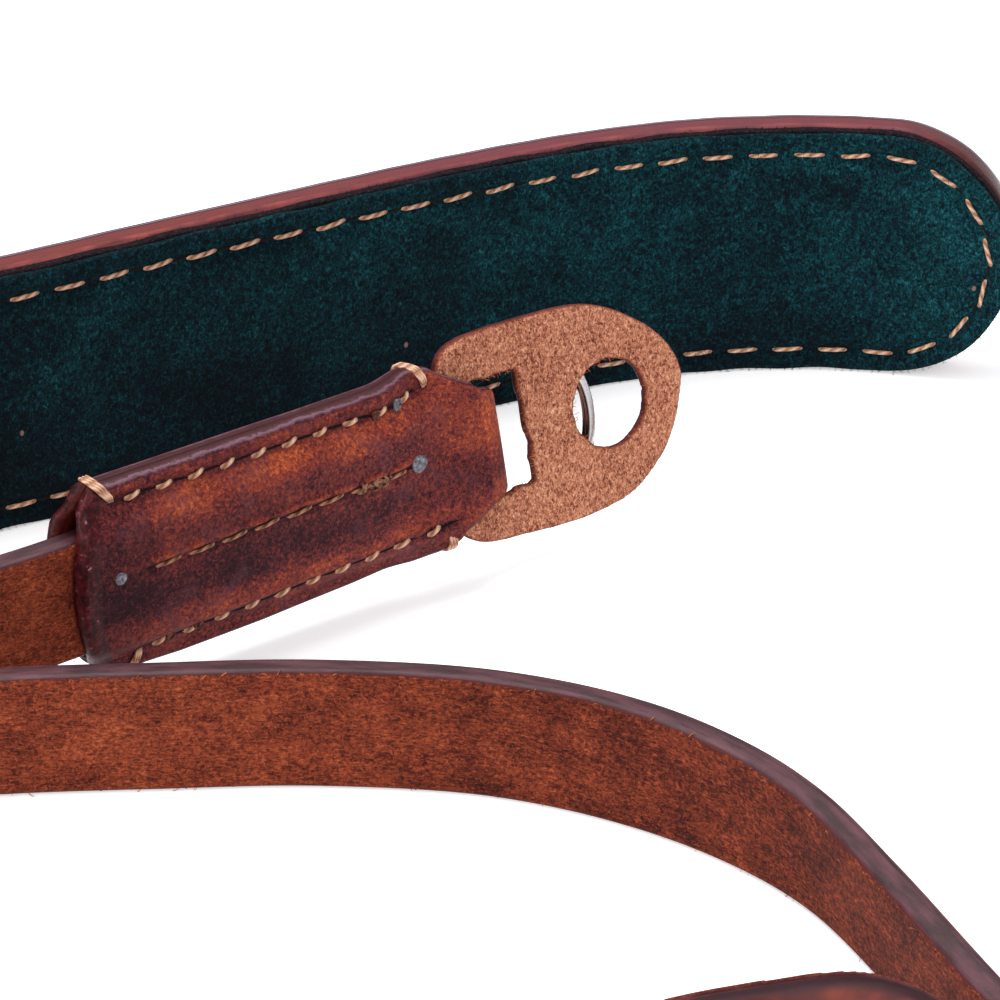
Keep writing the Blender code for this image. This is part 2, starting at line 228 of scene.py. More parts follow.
bpy.ops.mesh.primitive_plane_add(size=6.0)
table = bpy.context.object
table.name = "table"
paper = Finish("white_table", Roughness=0.6, Emission_Color=(1.0, 1.0, 1.0, 1.0), Emission_Strength=0.4)
paper_tone = paper.noise(paper.place(), 3.0, 1.0)
paper.drive("Base Color", paper.tint(paper_tone, linear(249, 249, 251), linear(252, 252, 253)))
table.data.materials.append(paper.material)
table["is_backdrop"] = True

# Shoulder pad: 3.4 mm vegetable-tanned leather outside, a thin dark felt between and green suede
# towards the shoulder, all cut to one long shape with half-round ends and glued face to face.
PAD_WIDTH = 26.0
PAD_FACES = {  # out from the middle of the frame's leather: away from the camera, towards it
    "leather": (1.7, -1.75),
    "felt": (-1.75, -2.85),
    "suede": (-2.85, -3.9),
}
PAD_SEAM = 10.7
PAD_ROUTE = [  # x, y, as the pad's leather lies in the frame
    (-165.0, -22.0), (-143.0, -29.0), (-118.0, -33.4), (-92.0, -34.0), (-68.0, -31.0), (-46.0, -24.5),
    (-27.4, -15.7), (-12.2, -6.9), (0.0, 0.0), (12.3, 6.8), (19.4, 10.4), (27.6, 14.1), (38.9, 17.7),
    (49.8, 19.0), (58.8, 18.4), (72.8, 14.9),
]


def smooth_path(points, step):
    """Points about step apart on a smooth curve through the given rows of columns."""
    rows = np.array(points, float)
    rows = np.vstack([2 * rows[0] - rows[1], rows, 2 * rows[-1] - rows[-2]])
    chord = np.linalg.norm(np.diff(rows[:, :2], axis=0), axis=1)
    knots = np.concatenate([[0.0], np.cumsum(np.sqrt(chord))])
    path = []
    for i in range(1, len(rows) - 2):
        count = max(2, round(chord[i] / step))
        last = i == len(rows) - 3
        t0, t1, t2, t3 = knots[i - 1 : i + 3]
        for t in np.linspace(t1, t2, count + 1)[: None if last else -1]:
            a1 = ((t1 - t) * rows[i - 1] + (t - t0) * rows[i]) / (t1 - t0)
            a2 = ((t2 - t) * rows[i] + (t - t1) * rows[i + 1]) / (t2 - t1)
            a3 = ((t3 - t) * rows[i + 1] + (t - t2) * rows[i + 2]) / (t3 - t2)
            b1 = ((t2 - t) * a1 + (t - t0) * a2) / (t2 - t0)
            b2 = ((t3 - t) * a2 + (t - t1) * a3) / (t3 - t1)
            path.append(((t2 - t) * b1 + (t - t1) * b2) / (t2 - t1))
    return np.array(path)


def left_normals(path):
    run = np.gradient(path[:, :2], axis=0)
    run /= np.linalg.norm(run, axis=1)[:, None]
    return np.column_stack([-run[:, 1], run[:, 0]])


def lengths_along(path):
    return np.concatenate([[0.0], np.cumsum(np.linalg.norm(np.diff(path[:, :2], axis=0), axis=1))])


def path_at(path, distances):
    along = lengths_along(path)
    return np.column_stack([np.interp(distances, along, path[:, k]) for k in range(path.shape[1])])


pad_path = smooth_path(PAD_ROUTE, 1.0)
pad_long = lengths_along(pad_path)[-1]
pad_guide = np.column_stack([pad_path, left_normals(pad_path)])


def on_pad(distance, out, up):
    """Points by their distance along the pad, out from its leather's middle, and their height."""
    x, y, nx, ny = path_at(pad_guide, distance).T
    return np.column_stack([x + nx * out, y + ny * out, np.broadcast_to(up, x.shape)])


def round_the_pad(step):
    """Points round the pad's outline: the middle they belong to, and the way out from it."""
    radius = PAD_WIDTH / 2
    straight = np.linspace(radius, pad_long - radius, round((pad_long - PAD_WIDTH) / step) + 1)
    bend = np.radians(np.linspace(0, 180, round(math.pi * radius / step) + 1))[1:-1]
    top = [(s, 0.0, 1.0) for s in straight]
    right = [(pad_long - radius, math.sin(t), math.cos(t)) for t in bend]
    low = [(s, 0.0, -1.0) for s in straight[::-1]]
    left = [(radius, -math.sin(t), -math.cos(t)) for t in bend]
    return np.array(top + right + low + left)


def ripple(x, y, seed, shortest=0.7, longest=1.6):
    """A smooth uneven height, about -1 to 1, from a few crossed waves."""
    rng = np.random.default_rng(seed)
    total = np.zeros(np.broadcast(x, y).shape)
    for _ in range(9):
        angle, size, phase = rng.uniform(0, math.pi), rng.uniform(shortest, longest), rng.uniform(0, 6.3)
        total += np.sin((x * math.cos(angle) + y * math.sin(angle)) / size + phase)
    return total / 4.0


def close_up(mesh, gap=0.0):
    """Merges points that lie within a gap of each other and turns the faces outwards."""
    bm = bmesh.new()
    bm.from_mesh(mesh)
    if gap:
        bmesh.ops.remove_doubles(bm, verts=bm.verts, dist=gap)
    bmesh.ops.recalc_face_normals(bm, faces=bm.faces)
    bm.to_mesh(mesh)
    bm.free()


def new_piece(name, verts, faces, uvs, traits=None):
    """A smooth closed mesh from points in millimetres."""
    mesh = bpy.data.meshes.new(name)
    mesh.from_pydata((np.asarray(verts) * MM).tolist(), [], faces)
    mesh.uv_layers.new(name="wrap").data.foreach_set("uv", (np.asarray(uvs) * MM).ravel())
    for trait, values in (traits or {}).items():
        attribute = mesh.attributes.new(trait, "FLOAT", "POINT")
        attribute.data.foreach_set("value", np.asarray(values, float).ravel())
    close_up(mesh, 1e-6)
    mesh.shade_smooth()
    return put(name, mesh)


def dress(piece, finish, slot, *nodes):
    """The last calls on a piece: its finish, the body it rides on and the nodes it stands for."""
    piece.data.materials.clear()
    piece.data.materials.append(finish.material)
    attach(piece, "root")
    if nodes:
        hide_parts(*nodes)


def pad_layer(name, faces, edge, shrink, press, rough_edge, seed):
    """One layer of the pad: loops round its outline, from the middle of one face to the other."""
    away, near = faces
    ring = round_the_pad(0.8)
    count = len(ring)
    rim = PAD_WIDTH / 2 - shrink
    flat = [0.0, 3.0, 6.0, 8.2, 9.6, 10.2, PAD_SEAM, 11.2, 11.8, rim - edge]
    turns = np.radians(np.linspace(0, 90, 5))[1:]
    half = (away - near) / 2
    edge_out = min(edge, half)
    profile = [(rho, near) for rho in flat]
    profile += [(rim - edge + edge * math.sin(t), near + edge_out * (1 - math.cos(t))) for t in turns]
    profile += [(rho, away + near - out) for rho, out in profile[::-1]]
    verts, depth, rims, uvs = [], [], [], []
    for rho, out in profile:
        relief_shade_and_light = press * math.exp(-((rho - PAD_SEAM) / 0.6) ** 2)
        ragged = rough_edge * ripple(np.arange(count) * 0.8, rho * 0.5, seed) * (rho > rim - edge - 0.01)
        reach = rho + ragged
        s = ring[:, 0] + ring[:, 1] * reach
        z = ring[:, 2] * reach
        towards = 1.0 if out < (away + near) / 2 else -1.0
        swell = 0.06 * ripple(s * 0.3, z * 0.3, seed + 1) * (rho < rim - 1)
        verts.append(on_pad(s, out + towards * (relief_shade_and_light + swell), np.maximum(PAD_WIDTH / 2 + z, 0.02)))
        uvs.append(np.column_stack([s, z + (100.0 if towards < 0 else 0.0)]))
        depth.append(np.full(count, (out - near) / (away - near)))
        rims.append(np.full(count, max(0.0, 1 - (rim - rho) / 1.4)))
    verts, uvs = np.vstack(verts), np.vstack(uvs)
    k = np.arange(count)
    loops = [np.column_stack([i * count + k, i * count + (k + 1) % count]) for i in range(len(profile))]
    quads = [np.column_stack([a, b[:, ::-1]]) for a, b in zip(loops, loops[1:])]
    quads = np.vstack(quads)
    traits = {"depth": np.concatenate(depth), "rim": np.concatenate(rims)}
    return new_piece(name, verts, quads.tolist(), uvs[quads.ravel()], traits)


def pad_leather_finish():
    """Red-brown grain with a waxed edge: a lighter cut band and a dark rounded corner with a painted lilac
    highlight along it.
    """
    f = Finish("pad_leather", Coat_Roughness=0.22, Specular_IOR_Level=0.2)
    rim, depth = f.trait("rim"), f.trait("depth")
    cloud = f.noise(f.place(), 160.0, 3.0)
    pores = f.noise(f.place(), 1500.0, 4.0, 0.65)
    grain = f.tint(f.grade(cloud * 0.5 + pores * 0.5, 0.36, 0.66), linear(92, 34, 28), linear(136, 56, 38))
    fibre = f.noise(f.along((0.12, 1.0, 1.0)), 1700.0, 3.0, 0.6)
    x = f.parts(f.place())["X"]
    red_end = f.grade(x, 0.058, 0.072)
    band = f.ramp(fibre, [
        (0.32, linear(72, 26, 29)), (0.46, linear(100, 40, 40)), (0.56, linear(120, 53, 49)),
        (0.7, linear(146, 74, 64)),
    ])
    dusk = f.grade(x, -0.02, 0.03)
    band = f.tint(dusk * 0.45, band, linear(104, 54, 66))
    band = f.tint(red_end, band, linear(62, 5, 9))
    # Painted highlight: lilac streaks along the far rounded corner of the edge.
    streak = f.noise(f.along((0.06, 1.0, 1.0)), 1300.0, 2.0)
    painted_corner_highlight = (1.0 - f.grade((depth - 0.75).size(), 0.02, 0.06)) * f.grade(streak, 0.4, 0.55)
    corner = f.tint(painted_corner_highlight, f.tint(fibre, linear(26, 10, 18), linear(74, 44, 56)), linear(150, 122, 132))
    edge = f.tint(f.grade(depth + (fibre - 0.5) * 0.12, 0.6, 0.68), band, corner)
    f.drive("Base Color", f.tint(f.grade(rim, 0.35, 0.75), grain, edge))
    f.drive("Roughness", 0.5 + fibre * 0.25 - red_end * 0.2)
    f.drive("Coat Weight", 0.04 + red_end * 0.5)
    f.bump(fibre * 0.8 + f.noise(f.place(), 2400.0, 2.0) * 0.3, 0.5, 0.0002)
    return f


def felt_finish():
    f = Finish("dark_felt", Roughness=0.95, Specular_IOR_Level=0.1)
    fibre = f.noise(f.place(), 3400.0, 4.0, 0.7, 0.5)
    f.drive("Base Color", f.ramp(fibre, [
        (0.3, linear(12, 10, 14)), (0.55, linear(36, 28, 32)), (0.78, linear(78, 62, 68)),
    ]))
    f.bump(fibre, 1.0, 0.0003)
    return f


def suede_finish():
    """Short green nap: brushed patches light and dark, with fine lighter fibre tips."""
    f = Finish("green_suede", Roughness=0.96, Specular_IOR_Level=0.12)
    nap = f.noise(f.place(turn=(0.0, 0.5, 0.3)), 2000.0, 5.0, 0.75, 0.9)
    tips = f.noise(f.place((1.0, 1.0, 0.6)), 5200.0, 3.0, 0.7, 0.4)
    patch = f.noise(f.place((1.0, 1.0, 1.3)), 95.0, 4.0, 0.6, 0.4)
    parts = f.parts(f.place())
    low_left = f.grade(0.012 - parts["Z"] - parts["X"] * 0.12, -0.006, 0.014)
    to_right = f.grade(parts["X"], -0.03, 0.06) * 0.05
    tone = nap * 0.86 + tips * 0.6 + patch * 0.34 - 0.36 - low_left * 0.09 + to_right
    nap_tone = f.ramp(tone, [
        (0.4, linear(1, 12, 18)), (0.53, linear(3, 29, 36)), (0.62, linear(8, 48, 54)),
        (0.74, linear(24, 78, 84)), (0.9, linear(70, 126, 130)),
    ])
    lint = 1.0 - f.grade(f.cells(f.place((1.0, 1.0, 0.7)), 210.0), 0.03, 0.055)
    f.drive("Base Color", f.tint(lint * 0.7, nap_tone, linear(150, 120, 110)))
    f.bump(nap * 1.2 + tips * 0.8, 0.9, 0.00025)
    return f


pad_leather = pad_layer("pad_outer_leather", PAD_FACES["leather"], 0.8, 0.0, 0.25, 0.02, 3)
dress(pad_leather, pad_leather_finish(), "pad_leather", "pad_leather")
pad_felt = pad_layer("pad_felt_layer", PAD_FACES["felt"], 0.2, 0.08, 0.0, 0.12, 5)
dress(pad_felt, felt_finish(), "interlining", "pad_interlining")
pad_suede = pad_layer("pad_suede_lining", PAD_FACES["suede"], 0.45, 0.1, 0.35, 0.1, 7)
green_nap = suede_finish()
dress(pad_suede, green_nap, "suede", "pad_suede")

# Pad stitching: one row of tan waxed linen all round the pad, 2.3 mm in from the edge, worked by
# hand with two needles, so that each stitch leans a little and sinks into its holes.
PAD_STITCH_PITCH = 4.55
PAD_STITCH_LENGTH = 3.5
PAD_THREAD = 0.22


def skin(name, rings, traits=None, along=None):
    """A closed smooth body through rings of points, with its length and girth as a UV map."""
    rings = np.asarray(rings, float)
    count, sides = rings.shape[:2]
    here = np.arange(count - 1)[:, None] * sides + np.arange(sides)[None, :]
    beside = np.arange(count - 1)[:, None] * sides + (np.arange(sides)[None, :] + 1) % sides
    faces = np.stack([here, beside, beside + sides, here + sides], axis=-1).reshape(-1, 4).tolist()
    faces.append(list(range(sides))[::-1])
    faces.append(list(range((count - 1) * sides, count * sides)))
    if along is None:
        middle = rings.mean(axis=1)
        along = np.concatenate([[0.0], np.cumsum(np.linalg.norm(np.diff(middle, axis=0), axis=1))])
    ring = rings[count // 2]
    girth = np.concatenate([[0.0], np.cumsum(np.linalg.norm(np.roll(ring, -1, axis=0) - ring, axis=1))])
    uv = np.zeros((count - 1, sides, 4, 2))
    uv[..., 0] = np.stack([along[:-1], along[:-1], along[1:], along[1:]], axis=-1)[:, None, :]
    uv[..., 1] = np.stack([girth[:-1], girth[1:], girth[1:], girth[:-1]], axis=-1)[None, :, :]
    uvs = np.concatenate([uv.reshape(-1, 2), np.zeros((2 * sides, 2))])
    traits = {key: np.broadcast_to(values, (count, sides)) for key, values in (traits or {}).items()}
    return new_piece(name, rings.reshape(-1, 3), faces, uvs, traits)


def thread_rings(points, radius, sides=8):
    """Circles round a line of points, drawn in to nearly nothing at its two ends."""
    points = np.asarray(points, float)
    run = np.gradient(points, axis=0)
    run /= np.linalg.norm(run, axis=1)[:, None]
    rings = []
    side = np.cross(run[0], (0.0, 0.31, 0.95))
    for point, way, share in zip(points, run, np.linspace(0, 1, len(points))):
        side = side - way * np.dot(side, way)
        side /= np.linalg.norm(side)
        up = np.cross(way, side)
        turns = np.linspace(0, 2 * math.pi, sides, endpoint=False)
        size = radius * min(1.0, 0.35 + 6 * min(share, 1 - share))
        rings.append([point + size * (math.cos(t) * side + math.sin(t) * up) for t in turns])
    return rings


def stitch_template(name, length, radius, rise, sink):
    """One stitch along X: it comes up out of a hole, lies on the face and goes down again."""
    share = np.linspace(-1, 1, 9)
    height = rise - (rise + sink) * np.abs(share) ** 3.2
    points = np.column_stack([share * length / 2, np.zeros(9), height])
    return skin(name, thread_rings(points, radius))


def thread_finish(name, dark, middle, light):
    """Waxed linen of two plies twisted together, with painted shade in the grooves between them."""
    f = Finish(name, Roughness=0.75, Specular_IOR_Level=0.25)
    where = f.parts(f.along())
    # The twist stripes paint shade into the grooves between the plies.
    twist = (where["X"] * 5200.0 + where["Y"] * 6700.0).wave()
    fibre = f.noise(f.along((1.0, 0.4, 1.0)), 9000.0, 2.0)
    tone = twist * 0.24 + 0.5 + (fibre - 0.5) * 0.6
    stops = [(0.18, linear(*dark)), (0.5, linear(*middle)), (0.85, linear(*light))]
    f.drive("Base Color", f.ramp(tone, stops))
    f.bump(twist * 0.5 + fibre * 0.3, 0.8, 0.00015)
    return f


def shade_finish(name, dark, light, scale):
    f = Finish(name, Roughness=0.85, Specular_IOR_Level=0.2)
    f.drive("Base Color", f.tint(f.grade(f.noise(f.place(), scale, 3.0), 0.35, 0.65), dark, light))
    return f


def slit_template(name, half_long, half_wide):
    """A thin dark lens that lies on the leather as the painted shade inside the slit of an awl."""
    rings = []
    for share in np.linspace(-1, 1, 9):
        wide = half_wide * math.sqrt(max(1 - share ** 2, 0.02))
        turns = np.linspace(0, 2 * math.pi, 8, endpoint=False)
        rings.append([(share * half_long, wide * math.cos(t), 0.05 * math.sin(t)) for t in turns])
    return skin(name, rings)


def hair_template(name, length, radius, curl, steps=7, sides=5):
    """One loose fibre that stands out of its root along X and curls over."""
    share = np.linspace(0, 1, steps)
    lift = 0.3 * length * np.sin(share * 2.4)
    points = np.column_stack([length * share, curl * length * share ** 2, lift])
    return skin(name, thread_rings(points, radius, sides))


def setting_out_tree():
    """Sets one piece on every point of a guide, along the point's run and standing out from it."""
    tree = bpy.data.node_groups.new("set out along a line", "GeometryNodeTree")
    inputs = {
        "Guide": "Geometry", "Piece": "Object", "Lean": "Float", "Unevenness": "Float", "Finish": "Material",
    }
    for name, kind in inputs.items():
        tree.interface.new_socket(name, in_out="INPUT", socket_type="NodeSocket" + kind)
    tree.interface.new_socket("Made", in_out="OUTPUT", socket_type="NodeSocketGeometry")
    bench = Bench(tree)
    given = bench.node("NodeGroupInput")
    attribute = "GeometryNodeInputNamedAttribute"
    vector = {"data_type": "FLOAT_VECTOR"}
    run = bench.node(attribute, vector, {"Name": "run"})["Attribute"]
    out = bench.node(attribute, vector, {"Name": "out"})["Attribute"]
    number = {"data_type": "FLOAT"}
    size = bench.node(attribute, number, {"Name": "size"})["Attribute"]
    axes = {"primary_axis": "X", "secondary_axis": "Z"}
    sockets = {"Primary Axis": run, "Secondary Axis": out}
    stand = bench.node("FunctionNodeAxesToRotation", axes, sockets)["Rotation"]
    stray = bench.node("FunctionNodeRandomValue", number, {2: -1.0, 3: 1.0, 8: 11})["Value"]
    turn = given["Lean"] + stray * given["Unevenness"]
    lean = bench.node("ShaderNodeCombineXYZ", None, {"Z": turn})["Vector"]
    lean = bench.node("FunctionNodeEulerToRotation", None, {"Euler": lean})["Rotation"]
    turned = {"rotation_space": "LOCAL"}
    sockets = {"Rotation": stand, "Rotate By": lean}
    stand = bench.node("FunctionNodeRotateRotation", turned, sockets)["Rotation"]
    longer = bench.node("FunctionNodeRandomValue", number, {2: -0.5, 3: 0.5, 8: 29})["Value"]
    stretch = size * (1.0 + longer * given["Unevenness"])
    scale = bench.node("ShaderNodeCombineXYZ", None, {"X": stretch, "Y": size, "Z": size})["Vector"]
    original = {"transform_space": "ORIGINAL"}
    shape = bench.node("GeometryNodeObjectInfo", original, {"Object": given["Piece"]})["Geometry"]
    sockets = {"Points": given["Guide"], "Instance": shape, "Rotation": stand, "Scale": scale}
    set_out = bench.node("GeometryNodeInstanceOnPoints", None, sockets)["Instances"]
    real = bench.node("GeometryNodeRealizeInstances", None, {"Geometry": set_out})["Geometry"]
    sockets = {"Geometry": real, "Material": given["Finish"]}
    made = bench.node("GeometryNodeSetMaterial", None, sockets)["Geometry"]
    bench.node("NodeGroupOutput", None, {"Made": made})
    return tree


setting_out = setting_out_tree()


def set_out(name, template, spots, finish, slot, lean=0.0, unevenness=0.12):
    """Real pieces on the given spots, each a point, a run, an out direction and a size."""
    points, runs, outs, sizes = (np.array(column, float) for column in zip(*spots))
    mesh = bpy.data.meshes.new(name)
    mesh.from_pydata((points * MM).tolist(), [], [])
    for key, values in (("run", runs), ("out", outs)):
        mesh.attributes.new(key, "FLOAT_VECTOR", "POINT").data.foreach_set("vector", values.ravel())
    mesh.attributes.new("size", "FLOAT", "POINT").data.foreach_set("value", sizes)
    guide = put(name + "_guide", mesh)
    modifier = guide.modifiers.new("set out", "NODES")
    modifier.node_group = setting_out
    given = {
        "Piece": template, "Lean": math.radians(lean), "Unevenness": unevenness, "Finish": finish.material,
    }
    for item in setting_out.interface.items_tree:
        if item.name in given:
            modifier[item.identifier] = given[item.name]
    seen = guide.evaluated_get(bpy.context.evaluated_depsgraph_get())
    made = bpy.data.meshes.new_from_object(seen)
    made.shade_smooth()
    bpy.data.objects.remove(guide, do_unlink=True)
    dress(put(name, made), finish, slot)


def put_away(*templates):
    for template in templates:
        bpy.data.objects.remove(template, do_unlink=True)


def seam_spots(points, outs, pitch, start=0.5, size=1.0):
    """Spots a pitch apart along a line of points on a face."""
    points, outs = np.asarray(points, float), np.asarray(outs, float)
    along = np.concatenate([[0.0], np.cumsum(np.linalg.norm(np.diff(points, axis=0), axis=1))])
    count = int(along[-1] / pitch)
    spots = []
    for at in (np.arange(count) + start) * along[-1] / count:
        here = np.array([np.interp(at, along, points[:, k]) for k in range(3)])
        near = np.array([np.interp(at + 0.2, along, points[:, k]) for k in range(3)])
        back = np.array([np.interp(at - 0.2, along, points[:, k]) for k in range(3)])
        out = np.array([np.interp(at, along, outs[:, k]) for k in range(3)])
        spots.append((here, near - back, out, size))
    return spots


def pad_seam_spots(out, towards):
    ring = round_the_pad(0.5)
    ring = np.vstack([ring, ring[:1]])
    s = ring[:, 0] + ring[:, 1] * PAD_SEAM
    points = on_pad(s, out, PAD_WIDTH / 2 + ring[:, 2] * PAD_SEAM)
    outs = np.column_stack([path_at(pad_guide, s)[:, 2:] * towards, np.zeros(len(s))])
    return seam_spots(points, outs, PAD_STITCH_PITCH)


linen = thread_finish("linen_thread", (122, 78, 56), (186, 140, 112), (222, 184, 156))
# Painted shade: the awl slits and hollows are dark lenses that stand for the shade inside the holes.
painted_slit_shade = shade_finish("awl_slit", linear(6, 4, 5), linear(26, 14, 12), 3000.0)
pad_stitch = stitch_template("pad_stitch", PAD_STITCH_LENGTH, PAD_THREAD, 0.16, 0.3)
pad_hollow = slit_template("pad_hollow", 0.85, 0.17)
for side, layer, towards, relief_shade_and_light in (("suede", "suede", -1.0, 0.34), ("leather", "pad_leather", 1.0, 0.24)):
    face = PAD_FACES[side][1 if towards < 0 else 0] - towards * relief_shade_and_light
    seam = pad_seam_spots(face, towards)
    set_out(f"pad_stitches_{side}_side", pad_stitch, seam, linen, layer, 4.0, 0.08)
    hollows = [(p + r / np.linalg.norm(r) * PAD_STITCH_PITCH / 2, r, o, z) for p, r, o, z in seam]
    set_out(f"pad_hollows_{side}_side", pad_hollow, hollows, painted_slit_shade, layer, 4.0, 0.1)
put_away(pad_stitch, pad_hollow)

# Pad fluff: the cut edges of the suede and the felt fray, and short ends of nap stand up all over
# the suede's face.
SUEDE_EDGE_ENDS, FELT_EDGE_ENDS, SUEDE_FACE_ENDS = 5200, 2600, 6000
nap_end = hair_template("nap_end", 0.42, 0.028, 0.5, 4, 3)
felt_end = hair_template("felt_end", 0.5, 0.045, 0.6, 4, 3)
felt_dark = shade_finish("felt_fluff", linear(14, 11, 14), linear(58, 44, 50), 3000.0)
rng = np.random.default_rng(17)
ring = round_the_pad(0.8)
for name, slot, template, finish, count in (
    ("suede", "suede", nap_end, green_nap, SUEDE_EDGE_ENDS),
    ("felt", "interlining", felt_end, felt_dark, FELT_EDGE_ENDS),
):
    away, near = PAD_FACES[name]
    spots = []
    for _ in range(count):
        middle, dx, dz = ring[rng.integers(len(ring))]
        rho = PAD_WIDTH / 2 - 0.08 - rng.uniform(0, 0.15)
        out = rng.uniform(near, away)
        here = on_pad(np.array([middle + dx * rho]), out, PAD_WIDTH / 2 + dz * rho)[0]
        along = on_pad(np.array([middle + dx * rho + 0.3]), out, PAD_WIDTH / 2 + dz * rho)[0] - here
        normal = on_pad(np.array([middle + dx * rho]), out - 0.3, PAD_WIDTH / 2 + dz * rho)[0] - here
        outwards = along * dx + np.array([0.0, 0.0, 0.3]) * dz
        run = outwards * rng.uniform(0.1, 0.7) + along * rng.normal(0, 1.0) + normal * rng.normal(0.2, 0.5)
        spots.append((here, run, normal + outwards, rng.uniform(0.3, 0.8)))
    set_out(f"{name}_edge_fluff", template, spots, finish, slot, 0.0, 0.3)
spots = []
for _ in range(SUEDE_FACE_ENDS):
    s, z = rng.uniform(3, pad_long - 3), rng.uniform(-12.4, 12.4)
    room = math.sqrt(max(12.4 ** 2 - z ** 2, 0.1))
    if 13 - room < s < pad_long - 13 + room:
        here = on_pad(np.array([s]), PAD_FACES["suede"][1] + 0.04, 13 + z)[0]
        along = on_pad(np.array([s + 0.3]), PAD_FACES["suede"][1] + 0.04, 13 + z)[0] - here
        normal = on_pad(np.array([s]), PAD_FACES["suede"][1] - 0.3, 13 + z)[0] - here
        run = along * rng.normal(0, 1.0) + np.array([0.0, 0.0, 0.3]) * rng.normal(0, 1.0) + normal * 0.1
        spots.append((here, run, normal, rng.uniform(0.5, 1.2)))
set_out("suede_face_fluff", nap_end, spots, green_nap, "suede", 0.0, 0.3)
put_away(nap_end, felt_end)

# Straps: 11.5 mm of 2.7 mm bridle leather, flesh side in, edges waxed and rubbed to a dark gloss.
# Each is sewn to the pad's outer leather, turns over once on its way and ends inside its tab.
STRAP_WIDTH, STRAP_THICK, STRAP_ON_PAD = 11.5, 2.7, 26.0
STRAP_LIFT_IN_TAB, STRAP_IN_TAB = 5.45, 27.5
STRAP_FIBRES = 420
TAB_MIDDLE, TAB_LENGTH, LEAN_FROM = 12.4, 34.8, 28.0
TABS = {  # middle of the strap end, heading, the ring's side, twist of the guard end to the left
    "left": {"x": -13.0, "y": -49.2, "heading": 37.5, "side": 1, "lean": 14.0, "ring_slack": 0.0},
    "right": {"x": -4.4, "y": -143.2, "heading": 18.0, "side": -1, "lean": 0.0, "ring_slack": 1.0},
}
STRAP_ROUTES = {  # x, y, lift, roll
    "left": [
        (-192.0, -13.5, 4.0, 0), (-217.0, -9.5, 1.0, 0), (-243.0, -12.0, 0.0, 0),
        (-266.0, -23.0, 0.0, 0), (-281.0, -42.0, 0.0, 0), (-284.0, -64.0, 0.0, 0),
        (-274.0, -85.0, 0.0, 0), (-253.0, -99.0, 0.0, 12), (-228.0, -104.0, 0.0, 40),
        (-203.0, -102.0, 0.0, 74), (-178.0, -95.5, 0.0, 106), (-154.0, -87.5, 0.0, 140),
        (-131.0, -79.5, 0.0, 168), (-108.0, -72.5, 0.0, 180), (-86.0, -68.0, 0.8, 180),
        (-66.0, -65.8, 2.0, 180), (-52.0, -64.6, 3.0, 180), (-40.0, -62.6, 4.0, 180),
        (-30.5, -59.6, 4.7, 180),
    ],
    "right": [
        (86.0, 10.0, 5.0, 0), (98.0, 1.0, 2.0, 0), (108.0, -15.0, 0.0, 0), (114.0, -36.0, 0.0, 12),
        (117.0, -58.0, 0.0, 50), (118.0, -80.0, 0.0, 90), (118.0, -100.0, 0.0, 130),
        (117.0, -120.0, 0.0, 168), (113.0, -137.0, 0.0, 180), (105.0, -149.0, 0.0, 180),
        (93.0, -154.0, 0.0, 180), (81.0, -150.0, 0.0, 180), (72.1, -140.0, 0.0, 180),
        (65.5, -127.0, 0.0, 184), (59.1, -113.0, 0.0, 189), (51.9, -95.6, 0.0, 190),
        (46.4, -84.3, 0.0, 188), (40.4, -77.0, 0.0, 184), (32.0, -70.6, 0.0, 180),
        (20.4, -65.9, 0.0, 180), (5.4, -64.2, 0.0, 180), (-8.1, -64.7, 0.0, 180),
        (-21.6, -65.6, 0.0, 180), (-33.0, -67.4, 0.0, 180), (-44.0, -72.0, 0.0, 180),
        (-55.0, -80.6, 0.0, 180), (-63.0, -92.5, 0.0, 180), (-65.8, -106.0, 0.4, 180),
        (-63.5, -120.0, 1.4, 180), (-55.5, -133.5, 2.2, 180), (-42.5, -143.5, 3.2, 180),
        (-27.0, -148.2, 4.4, 180),
    ],
}


def eased(value, low, high):
    share = np.clip((np.asarray(value, float) - low) / (high - low), 0.0, 1.0)
    return share * share * (3 - 2 * share)


def in_tab(tab, along, across, up):
    """Points in a tab's own directions: on from its strap end, to its left, up from its middle."""
    along, across, up = np.broadcast_arrays(np.asarray(along, float), across, up)
    lean = math.radians(tab["lean"]) * eased(along, LEAN_FROM, TAB_LENGTH)
    away = across * np.cos(lean) + up * np.sin(lean)
    height = TAB_MIDDLE + up * np.cos(lean) - across * np.sin(lean)
    turn = math.radians(tab["heading"])
    x = tab["x"] + along * math.cos(turn) - away * math.sin(turn)
    y = tab["y"] + along * math.sin(turn) + away * math.cos(turn)
    return np.stack([x, y, height], axis=-1)


def strap_path(end, step):
    start = np.linspace(STRAP_ON_PAD, 0.0, 4)
    start = start if end == "left" else pad_long - start
    out = PAD_FACES["leather"][0] + 0.3 + STRAP_THICK / 2
    sewn = [(x, y, (PAD_WIDTH - STRAP_WIDTH) / 2, 0.0) for x, y, _ in on_pad(start, out, 0.0)]
    stops = (-9.0, 0.0, 12.0, STRAP_IN_TAB)
    ends = [(*in_tab(TABS[end], at, 0.0, 0.0)[:2], STRAP_LIFT_IN_TAB, 180.0) for at in stops]
    return smooth_path(sewn + STRAP_ROUTES[end] + ends, step)


